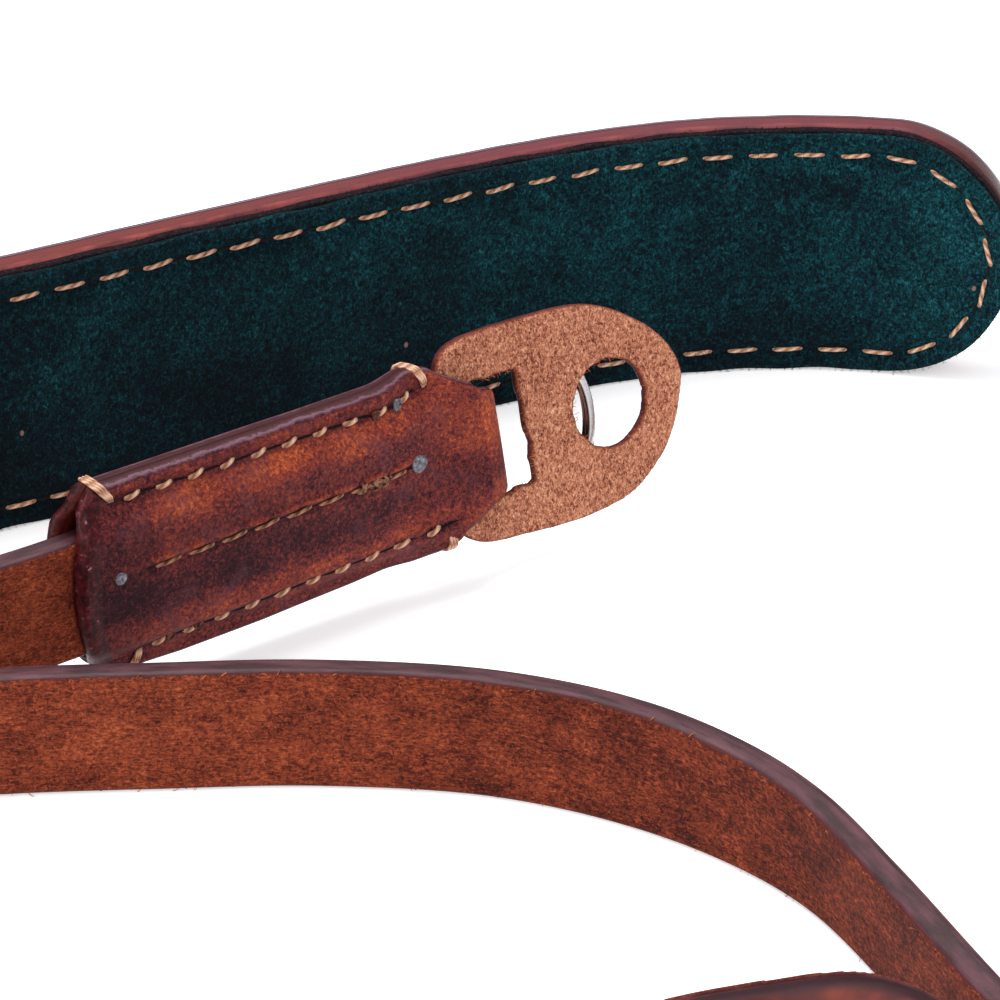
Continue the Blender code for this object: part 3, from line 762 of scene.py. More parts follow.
def flat_profile(half_thick, half_width, radius, corner, across, up):
    """Points round a flat section: across, up and which face they are on, 1 to -1."""
    points = []
    for index, (sx, sz, start) in enumerate([(1, -1, -90), (1, 1, 0), (-1, 1, 90), (-1, -1, 180)]):
        cx, cz = sx * (half_thick - radius), sz * (half_width - radius)
        for turn in np.radians(np.linspace(start, start + 90, corner + 1)):
            points.append((cx + radius * math.cos(turn), cz + radius * math.sin(turn), math.cos(turn)))
        wide, long = half_thick - radius, half_width - radius
        for share in np.linspace(-1, 1, (up if index % 2 == 0 else across) + 1)[1:-1]:
            edges = [
                (half_thick, long * share, 1.0), (-wide * share, half_width, 0.0),
                (-half_thick, -long * share, -1.0), (wide * share, -half_width, 0.0),
            ]
            points.append(edges[index])
    return np.array(points)


def strap_finish():
    """Fibrous flesh on one face, waxed grain on the other and dark rubbed edges."""
    f = Finish("strap_leather", Coat_Roughness=0.25, Specular_IOR_Level=0.22)
    face = f.trait("face")
    fleck = f.noise(f.place(turn=(0.0, 0.4, 0.5)), 2500.0, 5.0, 0.72, 0.9)
    fibre = f.noise(f.along((0.35, 1.5, 1.0), (0, 0, -0.6)), 3400.0, 3.0, 0.65, 1.3)
    patch = f.noise(f.place(), 230.0, 3.0)
    smear = f.noise(f.along((0.4, 1.0, 1.0), (0, 0, 0.5)), 420.0, 3.0, 0.6, 0.5)
    near_right = f.grade(f.parts(f.place())["X"], -0.015, 0.055)
    mottle = fleck * 0.5 + fibre * 0.34 + patch * 0.14 + smear * 0.14 - 0.06 - near_right * 0.055
    flesh = f.ramp(mottle, [
        (0.37, linear(46, 18, 15)), (0.45, linear(88, 37, 25)), (0.53, linear(130, 60, 38)),
        (0.6, linear(160, 81, 51)), (0.72, linear(196, 119, 82)),
    ])
    cloud = f.noise(f.place(), 210.0, 3.0)
    grain = f.tint(f.grade(cloud * 0.5 + fleck * 0.5, 0.4, 0.62), linear(88, 34, 27), linear(130, 52, 34))
    smoky = f.noise(f.along((0.2, 1.0, 1.0)), 900.0, 3.0)
    crack = f.noise(f.along((0.5, 1.0, 1.0)), 2200.0, 3.0, 0.7)
    edge = f.tint(f.grade(smoky, 0.35, 0.7), linear(48, 20, 26), linear(84, 46, 54))
    rim = 1.0 - f.grade(face.size(), 0.45, 0.9)
    line = (1.0 - f.grade((face - 0.72).size(), 0.04, 0.26)) * 0.9
    is_flesh = f.grade(face + (mottle - 0.5) * 1.0, 0.66, 0.84)
    colour = f.tint(line, f.tint(rim, grain, edge), linear(66, 16, 20))
    f.drive("Base Color", f.tint(is_flesh, colour, flesh))
    f.drive("Roughness", 0.45 + is_flesh * 0.52 + crack * 0.1)
    f.drive("Coat Weight", (1.0 - is_flesh) * 0.1)
    f.bump(mottle * is_flesh * 1.8 + crack * (1.0 - is_flesh) * 0.5, 0.8, 0.0002)
    return f


strap_leather = strap_finish()
strap_profile = flat_profile(STRAP_THICK / 2, STRAP_WIDTH / 2, 0.7, 6, 4, 22)
loose_fibre = hair_template("loose_fibre", 0.42, 0.03, 0.5)
flesh_fibre = shade_finish("flesh_fibre", linear(104, 48, 28), linear(188, 108, 66), 2500.0)
for end in TABS:
    path = strap_path(end, 0.8)
    along = lengths_along(path)
    turn = np.radians(path[:, 3])[:, None]
    normals = left_normals(path)
    across, up, face = strap_profile.T
    worn = ripple(along[:, None] * 0.35, up[None, :] * 0.5, 4) * 0.05 * (np.abs(face) < 0.7)
    across, up = across + worn, up + worn * 0.6
    side = across * np.cos(turn) + up * np.sin(turn)
    rise = up * np.cos(turn) - across * np.sin(turn)
    height = np.abs(np.cos(turn)) * STRAP_WIDTH / 2 + np.abs(np.sin(turn)) * STRAP_THICK / 2
    z = np.maximum(np.maximum(path[:, 2:3], 0.0) + height + rise, 0.02)
    rings = np.stack([path[:, :1] + normals[:, :1] * side, path[:, 1:2] + normals[:, 1:] * side, z], axis=-1)
    flesh = face * (1 if end == "left" else -1)
    strap = skin(f"strap_{end}_leather", rings, {"face": flesh}, along)
    dress(strap, strap_leather, "strap_leather", f"strap_{end}")
    rng = np.random.default_rng(12)
    spots = []
    brink = [k for k in range(len(flesh)) if 0.75 < flesh[k] < 0.99]
    for _ in range(STRAP_FIBRES):
        row, k = rng.integers(40, len(rings) - 40), rng.choice(brink)
        run = rings[row + 1, k] - rings[row - 1, k]
        out = rings[row, k] - rings[row].mean(axis=0)
        lie = run * rng.choice((-1, 1)) + out * 0.12
        spots.append((rings[row, k], lie, out, rng.uniform(0.4, 1.3)))
    set_out(f"strap_{end}_fibres", loose_fibre, spots, flesh_fibre, "strap_leather", 0.0, 0.8)

# Where the straps are sewn on: each lies on the outside of the pad and is held by one seam that
# runs along it, round its end and back, in the same thread and with shorter stitches.
SEWN_PITCH = 3.3
SEWN_IN = 1.9
sewn_stitch = stitch_template("sewn_stitch", 2.5, 0.26, 0.22, 0.25)
sewn_face = PAD_FACES["leather"][0] + 0.3 + STRAP_THICK
for end in TABS:
    high = STRAP_WIDTH / 2 - SEWN_IN
    corners = [(2.0, high), (STRAP_ON_PAD - SEWN_IN, high), (STRAP_ON_PAD - SEWN_IN, -high), (2.0, -high)]
    line = []
    for (s0, z0), (s1, z1) in zip(corners, corners[1:]):
        for share in np.linspace(0, 1, 30)[:-1]:
            line.append((s0 + (s1 - s0) * share, z0 + (z1 - z0) * share))
    s, z = np.array(line).T
    s = s if end == "left" else pad_long - s
    outs = np.column_stack([path_at(pad_guide, s)[:, 2:], np.zeros(len(s))])
    spots = seam_spots(on_pad(s, sewn_face, PAD_WIDTH / 2 + z), outs, SEWN_PITCH)
    set_out(f"sewing_on_{end}", sewn_stitch, spots, linen, "strap_leather", 6.0)
put_away(sewn_stitch)

# End tabs: one strip of 1.6 mm tooling leather folded in two round the guard's bar and the ring,
# with the strap's end between its layers, sewn along both edges and down the middle.
TAB_BULGE = 4.7
TAB_LAYER, NECK_LAYER = 1.65, 1.6
LAYERS_TOGETHER, LAYERS_APART, LAYERS_AT_NECK = 0.83, 2.2, 2.5
FOLD_AT = 38.8
TAB_PITCH = 3.2
TAB_SEAMS = {  # along and up at the start and at the end, depth and width of the pressed groove
    "upper": ((-0.1, 7.5), (32.9, 7.3), 0.2, 0.4),
    "lower": ((1.9, -7.5), (33.9, -5.7), 0.2, 0.4),
    "middle": ((2.4, 0.65), (30.4, 1.3), 0.18, 0.35),
}
TAB_EDGES = [  # way round the strip (fold at 40 to 220), upper edge, lower edge
    (0.0, 9.0, 9.7), (6.0, 9.0, 10.0), (15.0, 9.0, 9.9), (25.0, 9.1, 9.5), (31.0, 9.2, 9.1),
    (33.5, 9.2, 8.7), (34.8, 8.9, 8.2), (35.2, 8.5, 8.0), (35.7, 8.1, 7.3), (36.6, 7.6, 6.9),
    (37.6, 7.0, 6.4), (38.8, 6.4, 5.8), (58.0, 5.7, 5.4), (90.0, 5.3, 5.2), (112.0, 5.2, 5.2),
    (130.0, 4.6, 4.6), (150.0, 4.2, 4.2), (180.0, 4.2, 4.2), (220.0, 5.0, 5.0), (223.0, 6.6, 6.6),
    (225.5, 8.3, 8.2), (227.5, 9.1, 8.5), (240.0, 9.0, 9.4), (262.0, 9.0, 9.7),
]


def seam_line(seam, along):
    """How far up a seam runs at a place along the tab, and how much of it there is there."""
    (x0, z0), (x1, z1) = seam[:2]
    here = eased(along, x0 - 1.5, x0) * (1 - eased(along, x1, x1 + 1.5))
    return np.interp(along, (x0, x1), (z0, z1)), here


def relief(along, up):
    """How far the sewing has pulled a tab's outer face in, and squeezed ridges up beside it."""
    pull = 0.0
    for name, seam in TAB_SEAMS.items():
        line, here = seam_line(seam, along)
        pull = pull - seam[2] * here * np.exp(-((up - line) / seam[3]) ** 2)
        beads = np.abs(np.sin(math.pi * (along - seam[0][0]) / TAB_PITCH))
        ridge = np.exp(-((up - line - 0.62) / 0.3) ** 2) * (0.3 if name == "middle" else 0.0)
        pull = pull + here * ridge * beads
    return pull


def layer_middle(along, up):
    """How far the middle of a tab's layer lies from the middle of the tab."""
    over_strap = 1 - eased(np.abs(np.asarray(up) + 0.5), 5.3, 7.9)
    body = LAYERS_TOGETHER + (LAYERS_APART - LAYERS_TOGETHER) * over_strap
    neck = eased(along, 32.5, 37.2)
    return body * (1 - neck) + LAYERS_AT_NECK * neck


def layer_thick(along):
    return TAB_LAYER + (NECK_LAYER - TAB_LAYER) * eased(along, 31.0, 36.5)


def layer_section(high, low, thick):
    """Points round one layer, its outer corners rubbed round: depth, up and which face."""
    half, deep, tall = thick / 2, thick * 0.8, 0.85
    arc = np.radians(np.linspace(0, 90, 8))
    outer = [(half, z, 1.0) for z in np.linspace(tall - low, high - tall, 84)]
    round_off = [(half - deep * (1 - math.cos(t)), tall * (1 - math.sin(t)), math.cos(t)) for t in arc]
    top = [(a, high - drop, face) for a, drop, face in round_off[1:]] + [(-half * 0.98, high, 0.0)]
    inner = [(-half, z, -1.0) for z in np.linspace(high - 0.03, 0.03 - low, 12)]
    low_edge = [(-half * 0.98, -low, 0.0)] + [(a, drop - low, face) for a, drop, face in round_off[:0:-1]]
    return np.array(outer + top + inner + low_edge)


def tab_strip_rings(tab):
    """Sections round the folded strip, from one strap end round the fold to the other."""
    front = np.concatenate([np.linspace(0, 30, 88), np.linspace(30, FOLD_AT, 40)[1:]])
    stations = [(x, x, 0.0) for x in front] + [(40 + t, FOLD_AT, float(t)) for t in range(6, 180, 6)]
    stations += [(222 + FOLD_AT - x, x, 180.0) for x in front[::-1]]
    lifts = np.radians((82.0, 66.0, 50.0, 34.0, 17.0))
    plan = [(*stations[0], lift) for lift in lifts] + [(*s, 0.0) for s in stations]
    plan += [(*stations[-1], lift) for lift in lifts[::-1]]
    rings = []
    traits = {"face": [], "way": [], "up": [], "relief": [], "tip": [], "brink": []}
    ways = np.array(TAB_EDGES)
    for way, x, turn, lift in plan:
        high, low = np.interp(way, ways[:, 0], ways[:, 1]), np.interp(way, ways[:, 0], ways[:, 2])
        thick = float(layer_thick(x))
        depth, up, face = layer_section(high, low, thick).T
        bulge = -TAB_BULGE * np.sqrt(np.clip(1 - (up / 9.7) ** 2, 0, 1))
        along = x + bulge * (1 - eased(x, -2.0, 9.0))
        sewn = relief(along, up) * (face > 0.5) * math.cos(lift)
        worn = 0.05 * ripple(along * 0.4, up * 0.4, 8) * (face > 0.5)
        depth = depth * math.cos(lift) + sewn + worn
        if turn == 0.0 or turn == 180.0:
            across = (layer_middle(along, up) + depth) * (-1 if turn == 0.0 else 1)
            place = in_tab(tab, along - 0.5 * thick * math.sin(lift), across * tab["side"], up)
        else:
            bend, reach = math.radians(turn), LAYERS_AT_NECK + depth
            place = in_tab(tab, FOLD_AT + reach * math.sin(bend), -reach * math.cos(bend) * tab["side"], up)
        rings.append(place)
        traits["face"].append(face * math.cos(lift))
        traits["tip"].append(np.full(len(face), x))
        traits["way"].append(np.full(len(face), way))
        traits["up"].append(up)
        traits["relief"].append(sewn)
        traits["brink"].append(up + low)
    return rings, traits


def tab_face(tab, along, up, towards, proud=0.0):
    """A point on a tab's outer face: towards is -1 on the strip's first layer and 1 on its last."""
    out = layer_middle(along, up) + layer_thick(along) / 2 + relief(along, up) + proud
    return in_tab(tab, along, towards * tab["side"] * out, up)


def tab_finish():
    """Hand-dyed grain: dark red-brown, more orange along the seams and towards the fold, with painted shade
    in the seam grooves, a painted highlight on the ridges beside the middle seam and rubbed edges with
    painted highlights.
    """
    f = Finish("tab_leather", Coat_Roughness=0.2, Specular_IOR_Level=0.1)
    face, up, way, relief_shade_and_light = f.trait("face"), f.trait("up"), f.trait("way"), f.trait("relief")
    cloud = f.noise(f.place((1.0, 1.0, 1.3)), 130.0, 3.0, 0.6, 0.5)
    fine = f.noise(f.place(), 2900.0, 5.0, 0.75, 0.6)
    drift = f.noise(f.along((0.4, 1.0, 1.0), (0, 0, 0.2)), 480.0, 3.0, 0.6, 0.4)
    on_body = 1.0 - f.grade(way, 29.0, 33.0)
    by_upper = (1.0 - f.grade((up - 6.0).size(), 0.3, 2.3)) * f.grade(way, 1.0, 9.0) * on_body
    by_lower = (1.0 - f.grade((up + 5.6).size(), 0.3, 2.2)) * f.grade(way, 1.0, 5.0) * on_body
    by_fold = f.grade(way, 26.0, 50.0) * (1.0 - f.grade(up.size(), 3.0, 6.0) * 0.2)
    smudge = (1.0 - f.grade((up + 1.8).size(), 0.4, 3.4)) * 0.07
    near_strap = (1.0 - f.grade(way, 0.0, 6.0)) * 0.04
    tone = cloud * 0.22 + drift * 0.12 + fine * 0.78 - 0.07 + by_upper * 0.085 + by_lower * 0.065
    # The seam relief darkens the grooves as painted shade and lightens the ridges beside the middle seam as
    # a painted highlight.
    tone = tone + by_fold * 0.1 + relief_shade_and_light * 0.4 - smudge - near_strap
    grain = f.ramp(tone, [
        (0.36, linear(38, 17, 24)), (0.43, linear(68, 31, 36)), (0.51, linear(102, 45, 43)),
        (0.59, linear(136, 62, 46)), (0.67, linear(176, 86, 50)), (0.78, linear(208, 118, 72)),
    ])
    veil = f.noise(f.place(), 300.0, 3.0, 0.6, 0.4)
    grain = f.tint(f.grade(veil, 0.5, 0.72) * 0.35, grain, linear(92, 58, 66))
    smoke = f.noise(f.place(), 1500.0, 4.0, 0.7, 0.5)
    # The ramp's stops at 0.46 and 0.62 paint a lilac highlight along the rubbed edge.
    edge = f.ramp(face + (smoke - 0.5) * 0.7 + (veil - 0.5) * 0.6, [
        (0.02, linear(56, 14, 19)), (0.3, linear(68, 28, 37)), (0.46, linear(108, 78, 88)),
        (0.62, linear(84, 50, 62)), (0.76, linear(42, 17, 25)), (0.95, linear(44, 15, 20)),
    ])
    # The brightest stop paints crackled highlight spots on the tab's end.
    end_rim = f.ramp(smoke, [
        (0.4, linear(36, 7, 11)), (0.56, linear(74, 18, 23)), (0.64, linear(84, 40, 46)),
        (0.72, linear(150, 126, 136)),
    ])
    end_mask = 1.0 - f.grade(f.trait("tip") + (smoke - 0.5) * 0.3, 0.5, 1.0)
    edge = f.tint(end_mask, edge, end_rim)
    inner = f.tint(f.grade(smoke, 0.3, 0.7), linear(52, 18, 16), linear(84, 34, 26))
    low_rim = 1.0 - f.grade(f.trait("brink") + (smoke - 0.5) * 0.8, 0.3, 0.9)
    edge = f.tint(low_rim * f.grade(face, 0.6, 0.9), edge, linear(62, 24, 36))
    rim = 1.0 - f.grade(face.size(), 0.62, 0.93) * (1.0 - end_mask) * (1.0 - low_rim)
    f.drive("Base Color", f.tint(f.grade(0.0 - face, 0.4, 0.8), f.tint(rim, grain, edge), inner))
    f.drive("Roughness", 0.5 + fine * 0.2 - rim * 0.2)
    f.drive("Coat Weight", rim * 0.12)
    f.bump(drift * 0.3 + fine * 0.55 + smoke * rim * 0.8, 0.6, 0.00018)
    return f


tab_leather = tab_finish()
for end, tab in TABS.items():
    rings, traits = tab_strip_rings(tab)
    strip = skin(f"end_tab_{end}_leather", rings, {key: np.array(rows) for key, rows in traits.items()})
    dress(strip, tab_leather, "tab_leather", f"end_tab_{end}")

# Tab sewing: short leaning stitches in a pressed groove near each edge, each going down through
# a slit, and a finer row down the middle. The thread goes over the edge at each corner.
WRAPS = [(-0.6, 1.0, -1.0), (34.0, 1.0, -0.4), (1.6, -1.0, -1.2), (34.3, -1.0, 0.1)]  # along, up, lean
edge_stitch = stitch_template("edge_stitch", 1.7, 0.24, 0.2, 0.3)
fine_stitch = stitch_template("fine_stitch", 3.0, 0.18, 0.2, 0.2)
# Painted shade: each awl slit is a dark lens for the shade inside its hole.
awl_slit = slit_template("awl_slit", 0.95, 0.15)
dull_linen = thread_finish("dull_thread", (84, 50, 36), (140, 98, 74), (180, 138, 108))
for end, tab in TABS.items():
    for towards in (-1, 1):
        side = "front" if towards < 0 else "back"
        lean = 13.0 * towards * -tab["side"]
        out = in_tab(tab, 0.0, towards * tab["side"], 0.0) - in_tab(tab, 0.0, 0.0, 0.0)
        edges, slits, fine = [], [], []
        for name, seam in TAB_SEAMS.items():
            along = np.linspace(seam[0][0], seam[1][0], 90)
            points = tab_face(tab, along, seam_line(seam, along)[0], towards)
            line = seam_spots(points, np.broadcast_to(out, points.shape), TAB_PITCH)
            is_middle = name == "middle"
            (fine if is_middle else edges).extend(line)
            proud, size = (0.0, 0.5) if is_middle else (0.02, 1.0)
            for point, run, away, _ in line:
                gap = point + run / np.linalg.norm(run) * TAB_PITCH / 2 + away * proud
                slits.append((gap, run, away, size))
        slits.append((tab_face(tab, 2.0, 0.75, towards, 0.03), slits[0][1], out, 0.75))
        set_out(f"tab_stitches_{end}_{side}", edge_stitch, edges, linen, "tab_leather", lean, 0.2)
        row = f"middle_stitches_{end}_{side}"
        set_out(row, fine_stitch, fine, dull_linen, "tab_leather", lean * 0.2, 0.06)
        set_out(f"awl_slits_{end}_{side}", awl_slit, slits, painted_slit_shade, "tab_leather", lean * -0.4, 0.15)
    for number, (at, way, lean) in enumerate(WRAPS):
        brim = float(np.interp(at, (0.0, 31.0, 34.8), (9.0, 9.2, 8.9) if way > 0 else (9.7, 9.1, 8.3)))
        seam = TAB_SEAMS["upper" if way > 0 else "lower"]
        foot = abs(float(seam_line(seam, at)[0]))
        face_out = float(layer_middle(at, way * 8.0)) + TAB_LAYER / 2
        for strand in range(3):
            shift = (strand - 1) * 0.3
            over = [
                (-face_out + 0.1, foot), (-face_out - 0.1, foot + 0.5), (-face_out - 0.05, brim - 0.55),
                (-face_out * 0.72, brim + 0.02), (0.0, brim + 0.16), (face_out * 0.72, brim + 0.02),
                (face_out + 0.05, brim - 0.55), (face_out + 0.1, foot + 0.5), (face_out - 0.1, foot),
            ]
            line = smooth_path(over, 0.35)
            climb = (line[:, 1] - foot) / (brim - foot)
            fan = at + shift * (0.6 + 0.5 * climb) + lean * climb
            wrap = in_tab(tab, fan, line[:, 0] * tab["side"], way * line[:, 1])
            wrap = skin(f"wrap_{end}_{number}_{strand}", thread_rings(wrap, 0.17, 10))
            dress(wrap, linen, "tab_leather")
put_away(edge_stitch, fine_stitch, awl_slit)

# Thread end: the middle row's two ends are knotted before the last stitch and rubbed with wax,
# which leaves a small frayed brown lump on the face towards the camera.
KNOT_LOOPS = 26
knot_brown = shade_finish("waxed_knot", linear(60, 34, 28), linear(150, 108, 86), 3000.0)
knot_loop = stitch_template("knot_loop", 1.15, 0.17, 0.34, 0.12)
rng = np.random.default_rng(5)
for end, tab in TABS.items():
    out = in_tab(tab, 0.0, -1.0, 0.0) - in_tab(tab, 0.0, 0.0, 0.0)
    spots = []
    for _ in range(KNOT_LOOPS):
        at, off = rng.uniform(25.0, 28.0), rng.uniform(-0.5, 0.3)
        here = tab_face(tab, at, seam_line(TAB_SEAMS["middle"], at)[0] + off, -tab["side"], 0.02)
        run = in_tab(tab, 1.0, 0.0, rng.uniform(-1.1, 0.9)) - in_tab(tab, 0.0, 0.0, 0.0)
        spots.append((here, run, out, rng.uniform(0.6, 1.0)))
    set_out(f"knot_{end}", knot_loop, spots, knot_brown, "tab_leather", 0.0, 0.5)
put_away(knot_loop)

# Nails: small steel tacks that hold the layers while they are sewn, left in at the ends of the
# middle seam and by two corners, with two brown ones near the lower corner.
NAILS = {  # along, up, radius
    "steel": [(31.5, 1.2, 0.88), (30.2, 7.25, 0.62), (-0.9, 0.7, 0.62)],
    "brown": [(27.5, 7.3, 0.48), (4.4, -7.2, 0.52), (7.3, -7.05, 0.52)],
}
NAIL_PROUD_IN_SEAM = 0.26
NAIL_PROFILE = [  # radius, height
    (0.3, -0.9), (0.92, -0.6), (1.0, 0.0), (0.98, 0.1), (0.86, 0.18), (0.45, 0.22), (0.1, 0.23),
]


def nail_finish():
    f = Finish("tack_steel", Metallic=0.35, Specular_IOR_Level=0.4)
    scuff = f.noise(f.place(), 2600.0, 4.0, 0.75, 0.4)
    f.drive("Base Color", f.ramp(scuff, [
        (0.34, linear(48, 44, 50)), (0.48, linear(94, 92, 100)), (0.62, linear(130, 130, 140)),
        (0.76, linear(182, 182, 190)),
    ]))
    f.drive("Roughness", 0.45 + scuff * 0.2)
    f.bump(scuff, 0.8, 0.00012)
    return f


rings = []
for radius, height in NAIL_PROFILE:
    turns = np.linspace(0, 2 * math.pi, 16, endpoint=False)
    edge = [radius * (1 + 0.05 * math.sin(3 * t + 1)) for t in turns]
    rings.append([(r * math.cos(t), r * math.sin(t), height) for r, t in zip(edge, turns)])
tack = skin("tack", rings)
nail_looks = {"steel": nail_finish()}
nail_looks["brown"] = shade_finish("brown_tack", linear(44, 22, 18), linear(104, 66, 52), 2400.0)
for end, tab in TABS.items():
    for look, nails in NAILS.items():
        spots = []
        for along, up, radius in nails:
            run = in_tab(tab, along + 1, 0.0, up) - in_tab(tab, along, 0.0, up)
            out = in_tab(tab, along, -1.0, up) - in_tab(tab, along, 0.0, up)
            proud = 0.1 - 0.12 * radius + (NAIL_PROUD_IN_SEAM if abs(up) > 5 else 0.0)
            spots.append((tab_face(tab, along, up, -tab["side"], proud), run, out, radius))
        set_out(f"{look}_tacks_{end}", tack, spots, nail_looks[look], "ring_steel", 0.0, 0.0)
put_away(tack)

# Lug guards: round-ended washers cut by hand from 1.2 mm leather, left rough on the flesh side, that
# keep the ring off the camera. The tab's fold passes through the slot and the camera's lug the hole.
GUARD_START, GUARD_DROP, GUARD_OUT = 35.1, 0.5, 0.75
GUARD_THICK = 1.2
GUARD_OUTLINE = [  # along from the slot end, up from the guard's middle
    (0.0, -3.0), (0.2, -5.4), (1.2, -7.2), (2.5, -8.3), (4.4, -8.95), (8.6, -9.35), (12.7, -9.75),
    (17.3, -9.7), (21.4, -8.9), (24.9, -6.6), (26.9, -4.1), (28.0, -1.6), (28.6, 0.7), (27.8, 3.4),
    (25.6, 6.0), (22.8, 8.1), (20.3, 9.5), (17.7, 10.3), (14.6, 10.7), (11.5, 10.8), (6.3, 10.9),
    (3.3, 10.7), (1.7, 9.9), (0.9, 8.6), (0.2, 6.0),
]
GUARD_SLOT = [(3.7, -5.2), (10.25, -4.7), (10.0, 1.0), (9.7, 6.3), (3.7, 6.5)]
GUARD_HOLE_RADIUS, GUARD_HOLE_AT = 4.3, (19.9, 0.15)
SLOT_FIBRES, HOLE_FIBRES = 2, 1  # at each point of their loops
FACE_SIZE = 0.24


def guard_loops():
    """The outline, the slot and the hole as loops of points, none of them cut quite true."""
    outline = smooth_path(GUARD_OUTLINE + GUARD_OUTLINE[:1], 0.5)[:-1]
    slot = []
    for (x0, z0), (x1, z1) in zip(GUARD_SLOT, GUARD_SLOT[1:] + GUARD_SLOT[:1]):
        count = round(math.hypot(x1 - x0, z1 - z0) / 0.35)
        for share in np.arange(count) / count:
            slot.append((x0 + (x1 - x0) * share, z0 + (z1 - z0) * share))
    turns = np.linspace(0, 2 * math.pi, 70, endpoint=False)
    hole = GUARD_HOLE_RADIUS * np.column_stack([np.cos(turns), np.sin(turns)]) + GUARD_HOLE_AT
    loops = []
    for seed, loop in enumerate((outline, slot, hole)):
        loop = np.array(loop)
        step = np.arange(len(loop))
        rough = (0.03, 0.13, 0.12)[seed]
        loop[:, 0] += rough * ripple(step * 0.9, step * 0.0, seed + 20)
        loop[:, 1] += rough * ripple(step * 0.9, step * 0.0, seed + 30)
        loops.append(loop)
    return loops


def guard_point(tab, along, across, up):
    return in_tab(tab, GUARD_START + along, across - tab["side"] * GUARD_OUT, up - GUARD_DROP)


def guard_blank(name, tab):
    """The plate filled between its loops, then made of even small faces that can be shaped."""
    curve = bpy.data.curves.new(name, "CURVE")
    curve.dimensions = "2D"
    curve.fill_mode = "BOTH"
    curve.extrude = GUARD_THICK / 2 * MM
    for loop in guard_loops():
        spline = curve.splines.new("POLY")
        spline.points.add(len(loop) - 1)
        spline.use_cyclic_u = True
        for point, (x, z) in zip(spline.points, loop):
            point.co = (x * MM, z * MM, 0.0, 1.0)
    guide = put(name, curve)
    solid = bpy.data.meshes.new_from_object(guide.evaluated_get(bpy.context.evaluated_depsgraph_get()))
    bpy.data.objects.remove(guide, do_unlink=True)
    close_up(solid, 1e-7)
    blank = put(name, solid)
    even = blank.modifiers.new("even faces", "REMESH")
    even.mode = "VOXEL"
    even.voxel_size = FACE_SIZE * MM
    fine = bpy.data.meshes.new_from_object(blank.evaluated_get(bpy.context.evaluated_depsgraph_get()))
    bpy.data.objects.remove(blank, do_unlink=True)
    count = len(fine.vertices)
    points = np.empty(count * 3)
    fine.vertices.foreach_get("co", points)
    along, up, across = (points.reshape(-1, 3) / MM).T
    edge = np.full(count, 99.0)
    for loop in guard_loops():
        ends = np.roll(loop, -1, axis=0)
        for (x0, z0), (x1, z1) in zip(loop, ends):
            run = np.array([x1 - x0, z1 - z0])
            share = ((along - x0) * run[0] + (up - z0) * run[1]) / max(run @ run, 1e-9)
            share = np.clip(share, 0, 1)
            edge = np.minimum(edge, np.hypot(along - x0 - run[0] * share, up - z0 - run[1] * share))
    face = np.clip(across / (GUARD_THICK / 2), -1, 1)
    thinned = np.exp(-(edge / 0.4) ** 2) * 0.2
    across = across * (1 - thinned) + 0.05 * ripple(along * 0.5, up * 0.5, 41)
    where = guard_point(tab, along, across, up)
    fine.vertices.foreach_set("co", (where * MM).ravel())
    for trait, values in (("edge", edge), ("face", face * tab["side"] * -1)):
        fine.attributes.new(trait, "FLOAT", "POINT").data.foreach_set("value", values)
    close_up(fine)
    fine.shade_smooth()
    return put(name, fine)


def guard_finish():
    """Pale flesh with dark specks and short fibres on one face, dyed grain on the other."""
    f = Finish("guard_leather", Coat_Roughness=0.25, Specular_IOR_Level=0.2)
    face, edge = f.trait("face"), f.trait("edge")
    speck = f.noise(f.place(), 2700.0, 4.0, 0.75, 0.6)
    fibre = f.noise(f.place((1.0, 1.0, 0.5), (0.0, 0.6, 0.6)), 4200.0, 3.0, 0.65, 1.6)
    patch = f.noise(f.place(), 200.0, 3.0)
    tone = speck * 0.48 + fibre * 0.52 + (patch - 0.5) * 0.12
    flesh = f.ramp(tone, [
        (0.39, linear(84, 44, 38)), (0.44, linear(126, 70, 54)), (0.5, linear(176, 110, 84)),
        (0.57, linear(208, 144, 112)), (0.66, linear(236, 188, 156)),
    ])
    flesh = f.tint((1.0 - f.grade(edge, 0.02, 0.24)) * 0.75, flesh, linear(112, 50, 36))
    cloud = f.noise(f.place(), 150.0, 3.0)
    grain = f.tint(f.grade(cloud, 0.4, 0.66), linear(84, 30, 26), linear(138, 56, 34))
    grain = f.tint(1.0 - f.grade(edge, 0.3, 1.3), grain, linear(54, 26, 32))
    cut = f.tint(f.grade(speck, 0.4, 0.6), linear(70, 28, 26), linear(124, 58, 38))
    rim = f.tint(f.grade(patch, 0.4, 0.6), linear(60, 22, 28), linear(94, 46, 50))
    cut = f.tint(f.grade(0.0 - face, -0.6, 0.3), cut, rim)
    colour = f.tint(f.grade(face, 0.45, 0.95), cut, flesh)
    is_grain = f.grade(0.0 - face, 0.2, 0.85)
    f.drive("Base Color", f.tint(is_grain, colour, grain))
    f.drive("Roughness", 0.95 - is_grain * 0.5)
    f.drive("Coat Weight", is_grain * 0.2)
    f.bump(tone * (1.2 - is_grain), 0.9, 0.00025)
    return f


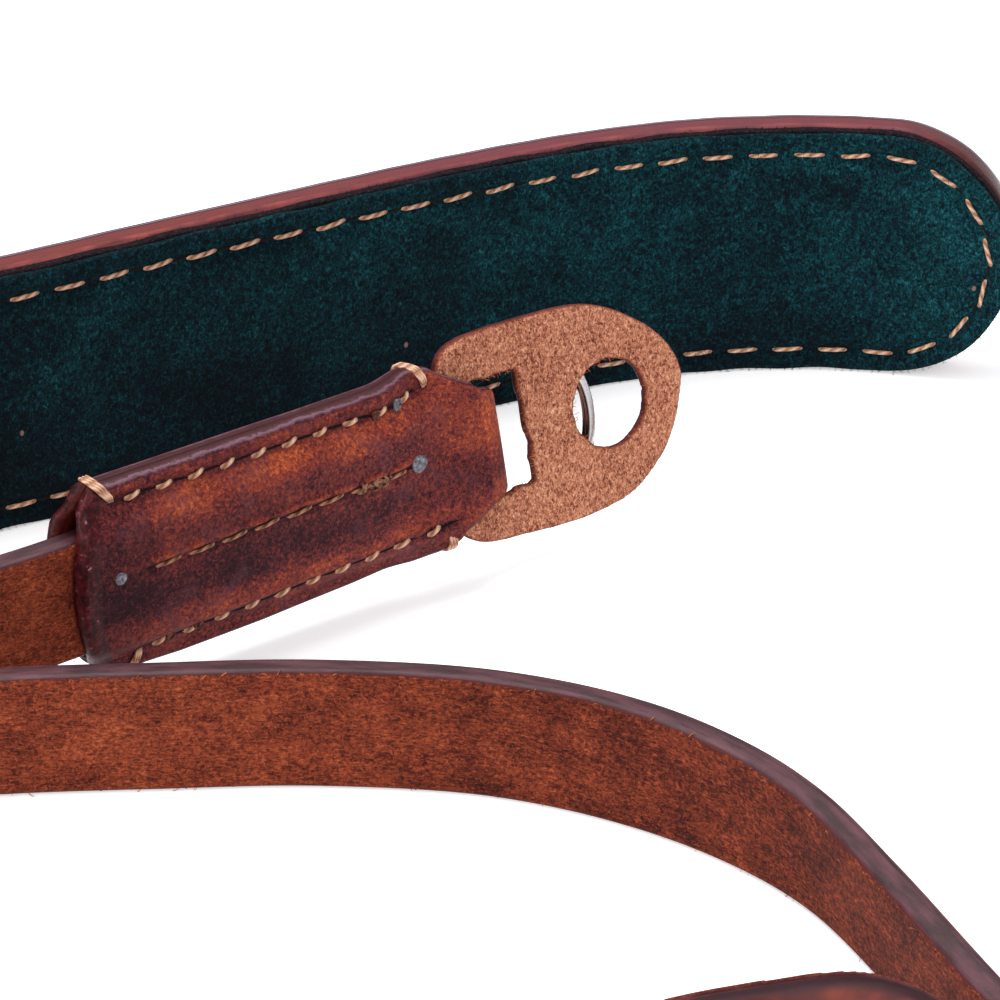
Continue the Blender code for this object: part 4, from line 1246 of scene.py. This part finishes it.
guard_leather = guard_finish()
for end, tab in TABS.items():
    guard = guard_blank(f"lug_guard_{end}_leather", tab)
    dress(guard, guard_leather, "guard_leather", f"lug_guard_{end}")
    rng = np.random.default_rng(31)
    flesh_side = -tab["side"] * GUARD_THICK / 2
    out = guard_point(tab, 10.0, flesh_side, 0.0) - guard_point(tab, 10.0, 0.0, 0.0)
    spots = []
    for loop, many in zip(guard_loops()[1:], (SLOT_FIBRES, HOLE_FIBRES)):
        middle = loop.mean(axis=0)
        for x, z in loop:
            for _ in range(many):
                depth = flesh_side * rng.uniform(0.2, 0.95)
                here = guard_point(tab, x, depth, z)
                inward = guard_point(tab, middle[0], depth, middle[1]) - here
                inward = inward / np.linalg.norm(inward) + rng.normal(0, 0.6, 3)
                root = here - 0.15 * inward / np.linalg.norm(inward)
                spots.append((root, inward, out, rng.uniform(0.4, 1.2)))
    set_out(f"guard_{end}_fibres", loose_fibre, spots, flesh_fibre, "guard_leather", 0.0, 0.5)
put_away(loose_fibre)

# Split rings: two turns of flattened nickel-plated steel wire lying one on the other, polished,
# held in the tab's fold beside the guard, with the wire's end stepping down at one place.
RING_RADIUS, RING_WIDTH, RING_THICK = 9.7, 0.9, 1.2
RING_DROP, RING_FROM_TAB, RING_OUT = 0.5, 44.5, 0.75
WIRE_START, WIRE_SWEEP = 20.0, 712.0  # degrees


def ring_finish():
    """Bright plate; on its inner side the ring is painted brown as the reflection of the leather round it.
    """
    f = Finish("nickel_plate", Metallic=1.0)
    haze = f.noise(f.place(), 700.0, 3.0)
    brush = f.noise(f.place((1.0, 1.0, 6.0)), 900.0, 2.0)
    bright = f.tint(haze, linear(232, 232, 234), linear(250, 250, 250))
    # Painted reflection: the ring's inner side takes the brown of the leather mirrored in it.
    painted_leather_reflection = f.tint(haze, linear(62, 36, 32), linear(104, 70, 62))
    f.drive("Base Color", f.tint(f.grade(f.trait("inside"), 0.5, 0.9), bright, painted_leather_reflection))
    f.drive("Roughness", 0.12 + brush * 0.12)
    return f


nickel = ring_finish()
for end, tab in TABS.items():
    section = flat_profile(RING_THICK / 4, RING_WIDTH / 2, 0.2, 4, 1, 2)
    rings = []
    for turn in np.linspace(WIRE_START, WIRE_START + WIRE_SWEEP, 180):
        share = (turn - WIRE_START) / WIRE_SWEEP
        step = (eased(share, 0.44, 0.56) - 0.5) * RING_THICK / 2
        around = math.radians(turn)
        radius = RING_RADIUS - RING_WIDTH / 2 + section[:, 1]
        along = RING_FROM_TAB - tab["ring_slack"] + radius * math.cos(around)
        up = radius * math.sin(around) - RING_DROP
        rings.append(in_tab(tab, along, tab["side"] * (RING_OUT + step + section[:, 0] * 0.98), up))
    ring = skin(f"split_ring_{end}_wire", rings, {"inside": -section[:, 1] / (RING_WIDTH / 2)})
    dress(ring, nickel, "ring_steel", f"split_ring_{end}")

low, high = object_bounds()
